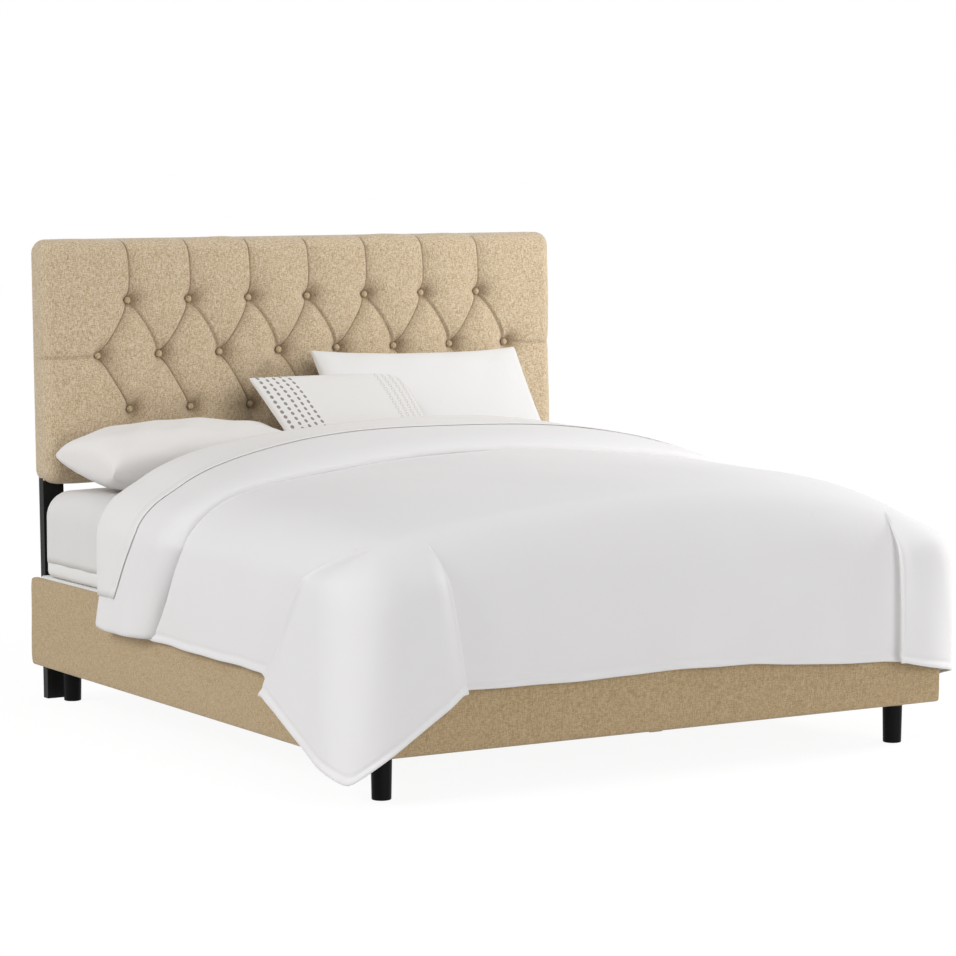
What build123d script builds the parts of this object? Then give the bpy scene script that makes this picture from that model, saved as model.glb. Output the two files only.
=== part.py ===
from build123d import *

import os
from math import asin, cos, hypot, radians, sin, sqrt

# Tufted upholstered bed for a king mattress, dressed with its bedding. Millimetres, +Z up.
# The origin is on the floor under the middle of the dressed bed, the headboard is at +Y.

# Mattress: the standard king size, which sets the plan of the frame
mattress_width = 1930
mattress_length = 2032
mattress_height = 272
mattress_corner = 60
mattress_edge = 45

# Foundation under the mattress
foundation_height = 198
foundation_side_gap = 3
foundation_end_gap = 3
foundation_corner = 20

# Upholstered rails: a plywood board in a padded linen wrap
rail_height = 276
rail_floor_gap = 118
rail_board = 18
rail_wrap = 3
rail_edge = 5
rail_side_gap = 1
rail_end_gap = 14
wrap_low_return = 20
wrap_top_return = 40

# Slats and what carries them
slat_thickness = 18
slat_width = 70
slat_count = 13
slat_end_margin = 60
slat_end_gap = 2
ledger_width = 30
ledger_height = 40
beam_width = 40
beam_height = 70
beam_end_gap = 2
center_leg_radius = 19
center_leg_shares = (0.32, 0.6, 0.88)

# Round feet under the four corners
leg_top_radius = 29
leg_foot_radius = 27
leg_foot_edge = 3
leg_plate_height = 8
front_leg_inset_x = 125
front_leg_inset_y = 65
head_leg_inset_x = 115
head_leg_inset_y = 52
leg_block_height = 24
leg_block_width = 150
leg_block_margin = 42
leg_bolt_radius = 4
leg_bolt_depth = 50
leg_bolt_grip = 20

# Steel brackets at the four corners of the rails
bracket_steel = 3
bracket_leg = 60
bracket_height = 120
bracket_floor_gap = 200
post_bracket_leg = 90
post_bracket_margin = 22

# Headboard: posts that lean back a little, timber frame, panel, foam and tufted cover
headboard_lean = 1.5
headboard_half_width = 940
headboard_low = 684
headboard_high = 1453
headboard_corner = 48
headboard_edge = 34
cover_side = 10
cover_front = 35
foam_depth = 30
panel_depth = 9
post_depth = 32
post_width = 70
post_gap = 15
frame_rail_width = 70
inner_stile_width = 50
inner_stile_share = 1.75
back_cloth = 1
back_cloth_margin = 6
post_bolt_radius = 4
post_bolt_head = 6.5
post_bolt_head_height = 5
post_bolt_rows = (230, 290)

# Deep tufting: rows of buttons, staggered, with pleats between them
button_pitch_share = 0.2296
button_row_pitch_share = 0.2247
button_middle_row_share = 0.52
outer_row_buttons = 7
middle_row_buttons = 8
button_radius = 12
button_side = 3
button_dome = 6
dimple_radius = 46
dimple_floor = 13
dimple_web = 4
pleat_half_width = 66
pleat_middle_depth = 15
pleat_button_half_width = 40
pleat_edge_half_width = 22
pleat_edge_depth = 8
twine_radius = 1.2
twine_hole_radius = 2.5
twine_washer_radius = 9
twine_washer = 2
twine_knot_radius = 3
twine_knot = 3

# Bedding
sheet = 2
duvet_side_reach = 75
duvet_foot_reach = 65
duvet_layer = 50
duvet_corner = 85
duvet_crown = 113
duvet_crown_start = 15
duvet_crown_low = 53
duvet_crown_reach = 14
duvet_crown_taper = 60
duvet_head_gap = 620
duvet_head_reach = 32
duvet_tip = 56
duvet_side_hem = 303
duvet_foot_hem = 285
duvet_flap_side = 430
duvet_flap_front = 370
duvet_flap_corner = 20
foot_drop_depth = 30
foot_drop_top_inset = 243
side_drop_depth = 20
side_drop_top_start = 200
side_drop_end_gap = 30
drop_shoulder = 45
drop_proud = 4
fold_length = 515
fold_layer = 58
fold_side_reach = 45
fold_shoulder_inset = 128
fold_shoulder_lift = 10
fold_shoulder_rise_share = 0.2
fold_side_drop = 165
fold_overlap = 60
turn_down = 250
turn_down_hem = 392
sleeping_pillow_width = 690
sleeping_pillow_depth = 460
sleeping_pillow_crown = 92
sleeping_pillow_side_gap = 15
sleeping_pillow_set_off = 283
sleeping_pillow_tilt = 14
sham_width = 800
sham_depth = 480
sham_crown = 62
sham_x = 380
sham_set_off = 180
sham_tilt = 62
accent_width = 560
accent_depth = 360
accent_crown = 52
accent_x = 12
accent_set_off = 340
accent_tilt = 60
pillow_tip_share = 0.12
pillow_draw_share = 0.07

# Clearances and the one overrun that every cut may run past its piece
fit = 0.3
play = 0.5
overrun = 20
arc_middle_share = 1 - sqrt(0.5)

# Places that follow from the sizes above
rail_thickness = rail_board + 2 * rail_wrap
inner_half_width = mattress_width / 2 + rail_side_gap
bed_half_width = inner_half_width + rail_thickness
bed_length = rail_thickness + mattress_length + rail_end_gap
rail_top = rail_floor_gap + rail_height
board_inner_x = inner_half_width + rail_wrap
board_outer_x = bed_half_width - rail_wrap

lean = radians(headboard_lean)
headboard_back = post_gap + (post_depth + back_cloth) * cos(lean) + headboard_high * sin(lean)
dressed_length = duvet_foot_reach + bed_length + headboard_back
foot_face = duvet_foot_reach - dressed_length / 2
foot_inner_face = foot_face + rail_thickness
foot_board_inner = foot_inner_face - rail_wrap
rail_end = foot_face + bed_length
post_face = rail_end + post_gap

ledger_low = rail_floor_gap + leg_block_height
slat_low = ledger_low + ledger_height
slat_top = slat_low + slat_thickness
foundation_top = slat_top + foundation_height
mattress_low = foundation_top + fit
mattress_top = mattress_low + mattress_height
mattress_foot = foot_inner_face + sheet + 2 * fit
sheet_top = mattress_top + fit + sheet
bed_surface = sheet_top + fit
duvet_top = bed_surface + duvet_layer
duvet_head = post_face - duvet_head_gap
fold_start = duvet_head - fold_length
turn_down_start = duvet_head - turn_down
sleeping_pillow_x = sleeping_pillow_side_gap + (sleeping_pillow_width - mattress_width) / 2

cover_face = -(panel_depth + foam_depth + cover_front)
foam_face = -(panel_depth + foam_depth)
dimple_depth = cover_front - dimple_web
frame_half_width = headboard_half_width - cover_side - fit
frame_low = headboard_low + cover_side + fit
frame_high = headboard_high - cover_side - fit
frame_corner = headboard_corner - cover_side
post_inner_x = frame_half_width - post_width
post_bolt_x = post_inner_x + post_width / 2
button_pitch = button_pitch_share * headboard_half_width
button_row_pitch = button_row_pitch_share * (headboard_high - headboard_low)
button_middle_row = headboard_low + button_middle_row_share * (headboard_high - headboard_low)
leaning = Pos(0, post_face, 0) * Rot(-headboard_lean, 0, 0)

front_leg = (bed_half_width - front_leg_inset_x, foot_face + front_leg_inset_y)
head_leg = (bed_half_width - head_leg_inset_x, rail_end - head_leg_inset_y)
leg_height = rail_floor_gap - leg_plate_height


def block(x, y, z):
    """A straight block between the low and high place on each axis."""
    size = (x[1] - x[0], y[1] - y[0], z[1] - z[0])
    return Pos(x[0], y[0], z[0]) * Box(*size, align=(Align.MIN, Align.MIN, Align.MIN))


def rod(radius, low, high):
    """A round rod along Z from low to high."""
    return Pos(0, 0, low) * Cylinder(radius, high - low, align=(Align.CENTER, Align.CENTER, Align.MIN))


def rod_back(radius, front, back):
    """A round rod along Y from front to back."""
    return Rot(-90, 0, 0) * rod(radius, front, back)


def both_sides(shape):
    """The shape and its mirror image across the middle of the bed."""
    return [shape, mirror(shape, about=Plane.YZ)]


def arc_between(start, end, corner):
    """A quarter-like arc from start to end that keeps on the corner's side."""
    ends = Vector(*start) + Vector(*end)
    middle = Vector(*corner) * (1 - 2 * arc_middle_share) + ends * arc_middle_share
    return ThreePointArc(start, middle, end)


def front_outline(half_width, low, high, corner):
    """The headboard's outline seen from the front, its two top corners rounded."""
    shoulder, inner = high - corner, half_width - corner
    edges = [
        Line((-half_width, 0, low), (half_width, 0, low)),
        Line((half_width, 0, low), (half_width, 0, shoulder)),
        arc_between((half_width, 0, shoulder), (inner, 0, high), (half_width, 0, high)),
        Line((inner, 0, high), (-inner, 0, high)),
        arc_between((-inner, 0, high), (-half_width, 0, shoulder), (-half_width, 0, high)),
        Line((-half_width, 0, shoulder), (-half_width, 0, low)),
    ]
    return make_face(edges)


def front_slab(half_width, low, high, corner, front, back):
    """That outline with a thickness, from the place front to the place back on Y."""
    face = Pos(0, front, 0) * front_outline(half_width, low, high, corner)
    return extrude(face, back - front, dir=(0, 1, 0))


def button_places():
    """Where each button sits: seven, eight and seven of them in three staggered rows."""
    rows = (
        (outer_row_buttons, button_middle_row + button_row_pitch),
        (middle_row_buttons, button_middle_row),
        (outer_row_buttons, button_middle_row - button_row_pitch),
    )
    return [
        [((i - (count - 1) / 2) * button_pitch, z) for i in range(count)]
        for count, z in rows
    ]


def pleat_section(place, direction, half_width, depth):
    """The pleat's groove at one place: two rounded shoulders that meet in a cusp."""
    plane = Plane(
        origin=(place[0], cover_face, place[1]),
        x_dir=(direction[1], 0, -direction[0]),
        z_dir=(direction[0], 0, direction[1]),
    )
    edges = [
        Line((-half_width, 0), (-half_width, -overrun)),
        Line((-half_width, -overrun), (half_width, -overrun)),
        Line((half_width, -overrun), (half_width, 0)),
        arc_between((half_width, 0), (0, depth), (0, 0)),
        arc_between((0, depth), (-half_width, 0), (0, 0)),
    ]
    return plane * make_face(edges)


def pleat(start, end, end_half_width, end_depth, middle_half_width, middle_depth):
    """A pleat that runs from the button at start to the place end."""
    length = hypot(end[0] - start[0], end[1] - start[1])
    direction = ((end[0] - start[0]) / length, (end[1] - start[1]) / length)
    middle = ((start[0] + end[0]) / 2, (start[1] + end[1]) / 2)
    return loft([
        pleat_section(start, direction, pleat_button_half_width, dimple_depth - play),
        pleat_section(middle, direction, middle_half_width, middle_depth),
        pleat_section(end, direction, end_half_width, end_depth),
    ])


def dimple():
    """The hollow that a button pulls into the padding, with the hole for its twine."""
    edges = [
        Line((0, -overrun), (dimple_radius, -overrun)),
        Line((dimple_radius, -overrun), (dimple_radius, 0)),
        arc_between((dimple_radius, 0), (dimple_floor, dimple_depth), (dimple_floor, 0)),
        Line((dimple_floor, dimple_depth), (0, dimple_depth)),
        Line((0, dimple_depth), (0, -overrun)),
    ]
    bowl = revolve(make_face(edges), Axis.Y)
    return bowl + rod_back(twine_hole_radius, 0, cover_front + overrun)


def headboard_cover():
    """Linen over wadding: tufted front, wrapped over the top, the sides and the bottom."""
    body = front_slab(
        headboard_half_width, headboard_low, headboard_high, headboard_corner, cover_face, post_depth
    )
    front = body.faces().sort_by(Axis.Y)[0]
    body = fillet(front.edges().sort_by(Axis.Z)[1:], headboard_edge)
    hollow = front_slab(
        headboard_half_width - cover_side, headboard_low + cover_side, headboard_high - cover_side,
        frame_corner, foam_face, post_depth + overrun,
    )
    slot = block(
        (post_inner_x - play, headboard_half_width - cover_side),
        (-play, post_depth + overrun),
        (headboard_low - overrun, headboard_low + cover_side + overrun),
    )
    top, middle, bottom = button_places()
    cuts = [hollow, *both_sides(slot)]
    for place in top + middle + bottom:
        cuts.append(Pos(place[0], cover_face, place[1]) * dimple())
    for row in (top, bottom):
        for x, z in row:
            for near in middle:
                if abs(near[0] - x) < button_pitch:
                    cuts.append(pleat(
                        near, (x, z), pleat_button_half_width, dimple_depth - play,
                        pleat_half_width, pleat_middle_depth,
                    ))
    edge = (pleat_edge_half_width, pleat_edge_depth, pleat_edge_half_width, pleat_middle_depth)
    for place in top:
        cuts.append(pleat(place, (place[0], headboard_high + overrun), *edge))
    for place in bottom:
        cuts.append(pleat(place, (place[0], headboard_low - overrun), *edge))
    for place, side in ((middle[0], -1), (middle[-1], 1)):
        cuts.append(pleat(place, (side * (headboard_half_width + overrun), place[1]), *edge))
    for cut in cuts:
        body = body - cut
    return body


def headboard_foam():
    slab = front_slab(frame_half_width, frame_low, frame_high, frame_corner, foam_face, -panel_depth)
    return slab - twine_holes()


def headboard_panel():
    slab = front_slab(frame_half_width, frame_low, frame_high, frame_corner, -panel_depth, 0)
    return slab - twine_holes()


def twine_holes():
    places = sum(button_places(), [])
    hole = rod_back(twine_hole_radius, foam_face - overrun, overrun)
    return [Pos(x, 0, z) * hole for x, z in places]


def headboard_buttons():
    """Linen-covered buttons: a flat back, a short side and a domed face."""
    seat = cover_face + dimple_depth
    rim, crown = seat - button_side, seat - button_side - button_dome
    ball = (button_radius ** 2 + button_dome ** 2) / (2 * button_dome)
    turn = asin(button_radius / ball) / 2
    edges = [
        Line((0, seat), (button_radius, seat)),
        Line((button_radius, seat), (button_radius, rim)),
        ThreePointArc(
            (button_radius, rim), (ball * sin(turn), crown + ball * (1 - cos(turn))), (0, crown)
        ),
        Line((0, crown), (0, seat)),
    ]
    button = revolve(make_face(edges), Axis.Y)
    return [Pos(x, 0, z) * button for x, z in sum(button_places(), [])]


def prism_back(radius, front, back):
    """A six-sided rod along Y, for the small pieces that stay hidden."""
    return Rot(-90, 0, 0) * extrude(Pos(0, 0, front) * RegularPolygon(radius, 6), back - front)


def tufting_twine():
    """Each button's twine goes through foam and panel to a knot behind a washer."""
    seat = cover_face + dimple_depth
    twine = prism_back(twine_radius, seat, twine_washer)
    knot = prism_back(twine_knot_radius, twine_washer, twine_washer + twine_knot)
    tie = twine + knot
    return [Pos(x, 0, z) * tie for x, z in sum(button_places(), [])]


def twine_washers():
    washer = prism_back(twine_washer_radius, 0, twine_washer)
    washer = washer - prism_back(twine_radius + fit, -overrun, overrun)
    return [Pos(x, 0, z) * washer for x, z in sum(button_places(), [])]


def headboard_post(side):
    """A flat post from the floor to the headboard's top, its outer corner rounded there."""
    outer = front_slab(
        frame_half_width, -overrun, frame_high, frame_corner, 0, post_depth
    )
    x = sorted((side * post_inner_x, side * (frame_half_width + overrun)))
    post = outer & block(x, (0, post_depth), (-overrun, headboard_high))
    post = leaning * (post - post_bolt_holes(side))
    floor_y = (post_face - overrun, post_face + post_depth + overrun)
    return post - block(x, floor_y, (-post_depth - overrun, 0))


def post_bolt_places(side):
    """Two bolts in each post, through the bracket of its side rail."""
    return [(side * post_bolt_x, z) for z in post_bolt_rows]


def post_bolt_holes(side):
    hole = rod_back(post_bolt_radius + fit, -overrun, post_depth + overrun)
    return [Pos(x, 0, z) * hole for x, z in post_bolt_places(side)]


def post_bolts():
    """Hexagon bolts: head on the bracket in front of the post, nut behind it."""
    head = prism_back(post_bolt_head, -bracket_steel - post_bolt_head_height, -bracket_steel)
    shank = rod_back(post_bolt_radius, -bracket_steel, post_depth)
    nut = prism_back(post_bolt_head, post_depth, post_depth + post_bolt_head_height)
    bolt = head + shank + nut
    return [leaning * Pos(x, 0, z) * bolt for side in (-1, 1) for x, z in post_bolt_places(side)]


def headboard_rails():
    """The frame's top and bottom timbers, between the posts."""
    x = (-post_inner_x, post_inner_x)
    low = block(x, (0, post_depth), (frame_low, frame_low + frame_rail_width))
    high = block(x, (0, post_depth), (frame_high - frame_rail_width, frame_high))
    return [low, high]


def headboard_stiles():
    """Two upright timbers between the frame's rails, clear of every button's twine."""
    middle = inner_stile_share * button_pitch
    x = (middle - inner_stile_width / 2, middle + inner_stile_width / 2)
    z = (frame_low + frame_rail_width, frame_high - frame_rail_width)
    return both_sides(block(x, (0, post_depth), z))


def headboard_back_cloth():
    """The dust cloth that closes the back, stapled to the frame."""
    return front_slab(
        frame_half_width - back_cloth_margin, frame_low + back_cloth_margin,
        frame_high - back_cloth_margin, frame_corner, post_depth, post_depth + back_cloth,
    )


def rail_board_solid(x, y):
    return block(x, y, (rail_floor_gap + rail_wrap, rail_top - rail_wrap))


def side_board(side):
    """Plywood board inside a side rail."""
    x = sorted((side * board_inner_x, side * board_outer_x))
    return rail_board_solid(x, (foot_inner_face, rail_end - rail_wrap))


def foot_board():
    return rail_board_solid((-board_outer_x, board_outer_x), (foot_face + rail_wrap, foot_board_inner))


def rounded_rail(x, y, axis):
    """A rail's outer form, with the long edges rounded by the padding."""
    body = block(x, y, (rail_floor_gap, rail_top))
    return fillet(body.edges().filter_by(axis), rail_edge - rail_wrap)


def side_wrap(side):
    """Padded linen round a side board, open on the inner face between its two returns."""
    x = sorted((side * inner_half_width, side * bed_half_width))
    window_x = sorted((side * (inner_half_width - overrun), side * board_inner_x))
    window = block(
        window_x, (foot_inner_face - overrun, rail_end + overrun),
        (rail_floor_gap + wrap_low_return, rail_top - wrap_top_return),
    )
    board_x = sorted((side * board_inner_x, side * board_outer_x))
    board = rail_board_solid(board_x, (foot_inner_face - overrun, rail_end - rail_wrap))
    return rounded_rail(x, (foot_inner_face, rail_end), Axis.Y) - board - window


def foot_wrap():
    """The same wrap round the foot board, which runs across both side rails."""
    window = block(
        (-board_inner_x, board_inner_x), (foot_board_inner, foot_inner_face + overrun),
        (rail_floor_gap + wrap_low_return, rail_top - wrap_top_return),
    )
    body = rounded_rail((-bed_half_width, bed_half_width), (foot_face, foot_inner_face), Axis.X)
    return body - foot_board() - window


def ledger(side):
    """Timber ledger on a side board, which the slats' ends rest on."""
    x = sorted((side * board_inner_x, side * (board_inner_x - ledger_width)))
    return block(x, (foot_inner_face + bracket_steel, rail_end - rail_wrap), (ledger_low, slat_low))


def slats():
    half = board_inner_x - slat_end_gap
    first = foot_inner_face + slat_end_margin
    last = rail_end - slat_end_margin - slat_width
    step = (last - first) / (slat_count - 1)
    return [
        block((-half, half), (first + i * step, first + i * step + slat_width), (slat_low, slat_top))
        for i in range(slat_count)
    ]


def center_beam():
    return block(
        (-beam_width / 2, beam_width / 2), (foot_inner_face + beam_end_gap, rail_end),
        (slat_low - beam_height, slat_low),
    )


def center_legs():
    leg = rod(center_leg_radius, 0, slat_low - beam_height)
    span = rail_end - foot_inner_face
    return [Pos(0, foot_inner_face + share * span, 0) * leg for share in center_leg_shares]


def leg_places():
    return [(side * x, y) for x, y in (front_leg, head_leg) for side in (-1, 1)]


def leg(place):
    """Turned black foot, a little narrower at the floor, with a hole for its bolt."""
    edges = [
        Line((0, 0, 0), (leg_foot_radius - leg_foot_edge, 0, 0)),
        arc_between(
            (leg_foot_radius - leg_foot_edge, 0, 0), (leg_foot_radius, 0, leg_foot_edge),
            (leg_foot_radius, 0, 0),
        ),
        Line((leg_foot_radius, 0, leg_foot_edge), (leg_top_radius, 0, leg_height)),
        Line((leg_top_radius, 0, leg_height), (0, 0, leg_height)),
        Line((0, 0, leg_height), (0, 0, 0)),
    ]
    body = revolve(make_face(edges), Axis.Z)
    hole = rod(leg_bolt_radius + fit, leg_height - leg_bolt_depth, leg_height + overrun)
    return Pos(place[0], place[1], 0) * (body - hole)


def leg_plates():
    plate = rod(leg_top_radius, leg_height, rail_floor_gap)
    plate = plate - rod(leg_bolt_radius + fit, leg_height - overrun, rail_floor_gap + overrun)
    return [Pos(x, y, 0) * plate for x, y in leg_places()]


def leg_blocks():
    """Timber corner blocks that the feet are bolted to, under the ends of the ledgers."""
    front_y = (foot_inner_face, front_leg[1] + leg_block_margin)
    head_y = (head_leg[1] - leg_block_margin, rail_end)
    x = (inner_half_width - leg_block_width, inner_half_width)
    z = (rail_floor_gap, rail_floor_gap + leg_block_height)
    hole = rod(leg_bolt_radius + fit, rail_floor_gap - overrun, rail_floor_gap + leg_block_height + overrun)
    front = block(x, front_y, z) - Pos(front_leg[0], front_leg[1], 0) * hole
    head = block(x, head_y, z) - Pos(head_leg[0], head_leg[1], 0) * hole
    return both_sides(front) + both_sides(head)


def leg_bolts():
    bolt = rod(leg_bolt_radius, leg_height - leg_bolt_depth, rail_floor_gap + leg_bolt_grip)
    return [Pos(x, y, 0) * bolt for x, y in leg_places()]


def corner_brackets():
    """Steel angles that hold the side boards to the foot board."""
    z = (bracket_floor_gap, bracket_floor_gap + bracket_height)
    inner = board_inner_x - bracket_steel
    on_foot = block(
        (board_inner_x - bracket_leg, board_inner_x),
        (foot_board_inner, foot_board_inner + bracket_steel), z,
    )
    on_side = block((inner, board_inner_x), (foot_board_inner, foot_board_inner + bracket_leg), z)
    return both_sides(on_foot + on_side)


def post_brackets():
    """Steel angles from the side boards to the posts, bolted to the posts' front."""
    z = (bracket_floor_gap, bracket_floor_gap + bracket_height)
    inner = board_inner_x - bracket_steel
    bend = post_face + z[1] * sin(lean)
    on_board = block((inner, board_inner_x), (rail_end - post_bracket_leg, bend), z)
    reach_low = min(post_bolt_x - post_bracket_margin, inner)
    reach_high = max(post_bolt_x + post_bracket_margin, board_inner_x)
    on_post = block((reach_low, reach_high), (-bracket_steel, 0), z)
    holes = [Pos(x, 0, zz) * rod_back(post_bolt_radius + fit, -overrun, overrun)
             for x, zz in post_bolt_places(1)]
    return both_sides(on_board + leaning * (on_post - holes))


def plan_block(half_width, y, z, corner, edge):
    """A soft block: plan corners and the top and bottom edges rounded."""
    body = block((-half_width, half_width), y, z)
    body = fillet(body.edges().filter_by(Axis.Z), corner)
    if edge:
        flat = body.faces().filter_by(Axis.Z)
        body = fillet(flat.edges(), edge)
    return body


def foundation():
    """Low fabric-covered foundation on the slats, inside the rails."""
    return plan_block(
        inner_half_width - foundation_side_gap,
        (foot_inner_face + bracket_steel + foundation_end_gap, rail_end - foundation_end_gap),
        (slat_top, foundation_top), foundation_corner, 0,
    )


def mattress():
    return plan_block(
        mattress_width / 2, (mattress_foot, mattress_foot + mattress_length),
        (mattress_low, mattress_top), mattress_corner, mattress_edge,
    )


def sheeted(gap, low):
    """The mattress's form grown by a gap, from the place low upwards."""
    body = block(
        (-mattress_width / 2 - gap, mattress_width / 2 + gap),
        (mattress_foot - gap, mattress_foot + mattress_length + gap),
        (low, mattress_top + gap),
    )
    body = fillet(body.edges().filter_by(Axis.Z), mattress_corner + gap)
    return fillet(body.faces().sort_by(Axis.Z)[-1].edges(), mattress_edge + gap)


def fitted_sheet():
    """Stretched over the mattress and tucked under its lower edge."""
    hem = mattress_low + mattress_edge
    return sheeted(fit + sheet, hem) - sheeted(fit, hem - overrun)


def plan_section(z, half_width, foot, corner, head_half_width, head):
    """The bedding's outline at one height, rounded at the two foot corners."""
    edges = [
        Line((-head_half_width, head, z), (-half_width, foot + corner, z)),
        arc_between(
            (-half_width, foot + corner, z), (-half_width + corner, foot, z), (-half_width, foot, z)
        ),
        Line((-half_width + corner, foot, z), (half_width - corner, foot, z)),
        arc_between(
            (half_width - corner, foot, z), (half_width, foot + corner, z), (half_width, foot, z)
        ),
        Line((half_width, foot + corner, z), (head_half_width, head, z)),
        Line((head_half_width, head, z), (-head_half_width, head, z)),
    ]
    return make_face(edges)


def cross_section(y, half_width, low, shoulder, high):
    """The folded-back bedding's outline at one place along the bed: a crown between two shoulders."""
    inner, rise = half_width - fold_shoulder_inset, high - shoulder
    slope = asin(2 * inner * rise / (inner ** 2 + rise ** 2))
    side = shoulder - fold_side_drop
    edges = [
        Line((-half_width, y, low), (half_width, y, low)),
        Line((half_width, y, low), (half_width, y, side)),
        TangentArc(
            (inner, y, shoulder), (half_width, y, side), tangent=(cos(slope), 0, -sin(slope))
        ),
        ThreePointArc((inner, y, shoulder), (0, y, high), (-inner, y, shoulder)),
        TangentArc(
            (-inner, y, shoulder), (-half_width, y, side), tangent=(-cos(slope), 0, -sin(slope))
        ),
        Line((-half_width, y, side), (-half_width, y, low)),
    ]
    return make_face(edges)


# Duvet drape: share of the height from tip to top, share of the reach past the rails,
# and the corner radius as a share of the layer
drape_shares = (
    (0.0, 1.0, 1.1),
    (0.3, 0.9, 1.0),
    (0.62, 0.45, 0.9),
    (0.82, 0.05, 0.9),
    (0.94, -0.55, 1.1),
    (1.0, -2.2, 1.8),
)
# Duvet crown: share of its length from the foot, share of its height, share of the taper
crown_shares = (
    (0.0, -0.3, 1.0),
    (0.1, 0.5, 0.2),
    (0.2, 0.82, 0.0),
    (0.35, 0.97, 0.0),
    (0.6, 1.0, 0.0),
    (1.0, 1.0, 0.0),
)
# Hollow of a drop: share of the height, share of the reach, share of the depth
drop_shares = ((-0.03, 1.0, 1.0), (0.3, 0.9, 1.0), (0.62, 0.45, 0.6), (0.84, 0.0, 0.0))
# Folded-back layer: share of its length, share of its height
fold_shares = ((0.0, 0.25), (0.13, 0.72), (0.3, 0.94), (0.52, 1.0), (0.76, 1.0), (1.0, 0.92))


def duvet_body():
    """The duvet's drape over the foot and the sides, with a flat top."""
    sections = []
    for height, reach, corner in drape_shares:
        z = duvet_tip + height * (duvet_top - duvet_tip)
        half_width = bed_half_width + reach * duvet_side_reach
        foot = foot_face - reach * duvet_foot_reach
        head_half_width = half_width - max(reach, 0) * (duvet_side_reach - duvet_head_reach)
        radius = corner * duvet_corner
        sections.append(plan_section(
            z, half_width, foot, radius, head_half_width, fold_start + fold_overlap
        ))
    return loft(sections)


def crown_body():
    """The duvet's crowned top, which rises from the foot and ends inside the folded-back part."""
    start = foot_face + duvet_crown_start
    length = turn_down_start + overrun - start
    low = duvet_top - duvet_crown_low
    sections = []
    for place, height, taper in crown_shares:
        shoulder = low + height * (duvet_crown_low + fold_shoulder_lift)
        crown = low + height * (duvet_crown_low + duvet_crown)
        half_width = bed_half_width + duvet_crown_reach - taper * duvet_crown_taper
        sections.append(cross_section(start + place * length, half_width, rail_top, shoulder, crown))
    return loft(sections)


def drop_section(start, end, depth):
    """One outline of a drop's hollow, which leaves a rounded shoulder of cloth at each end."""
    along = (end - start).normalized()
    inward = Vector(-along.Y, along.X)
    start, end = start - inward * drop_proud, end - inward * drop_proud
    start_shoulder, end_shoulder = start + along * drop_shoulder, end - along * drop_shoulder
    outer_start, outer_end = start - inward * overrun, end - inward * overrun
    deep_start, deep_end = start_shoulder + inward * depth, end_shoulder + inward * depth
    edges = [
        Line(outer_start, outer_end),
        Line(outer_end, end),
        arc_between(end, deep_end, end_shoulder),
        Line(deep_end, deep_start),
        arc_between(deep_start, start, start_shoulder),
        Line(start, outer_start),
    ]
    return make_face(edges)


def foot_drop():
    """Between its two corner points the duvet's foot drop hangs closer to the foot rail."""
    sections = []
    for height, reach, depth in drop_shares:
        z = duvet_tip + height * (duvet_top - duvet_tip)
        inset = duvet_flap_front + height * (foot_drop_top_inset - duvet_flap_front)
        x, y = bed_half_width - inset, foot_face - reach * duvet_foot_reach
        hollow = play + depth * (foot_drop_depth + drop_proud)
        sections.append(drop_section(Vector(-x, y, z), Vector(x, y, z), hollow))
    return loft(sections)


def side_drop():
    """The right side hangs closer too, between its corner point and the folded-back part."""
    span = fold_start + fold_overlap - foot_face
    sections = []
    for height, reach, depth in drop_shares:
        z = duvet_tip + height * (duvet_top - duvet_tip)
        start = foot_face + duvet_flap_side + height * (side_drop_top_start - duvet_flap_side)
        ends = []
        for y in (start, fold_start - side_drop_end_gap):
            narrowing = (duvet_side_reach - duvet_head_reach) * (y - foot_face) / span
            x = bed_half_width + reach * (duvet_side_reach - narrowing)
            ends.append(Vector(x, y, z))
        hollow = play + depth * (side_drop_depth + drop_proud)
        sections.append(drop_section(*ends, hollow))
    return loft(sections)


def fold_body(gap):
    """The part of the duvet that is folded back, grown by a gap for the sheet on it."""
    half_width = bed_half_width + fold_side_reach + gap
    sections = []
    for place, height in fold_shares:
        rise = height * fold_layer
        y = fold_start + place * fold_length + (gap if place == 1.0 else 0)
        shoulder = duvet_top + fold_shoulder_lift + fold_shoulder_rise_share * rise + gap
        crown = duvet_top + duvet_crown + rise + gap
        sections.append(cross_section(y, half_width, duvet_side_hem, shoulder, crown))
    return loft(sections)


def bed_space():
    """What the bedding drapes over: the sheeted mattress and the rails below it."""
    y = (foot_face - fit, rail_end + overrun)
    over_rails = block(
        (-bed_half_width - fit, bed_half_width + fit), y, (-overrun, mattress_low + fit)
    )
    over_mattress = sheeted(sheet + 2 * fit, -overrun)
    return [over_rails, over_mattress]


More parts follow.
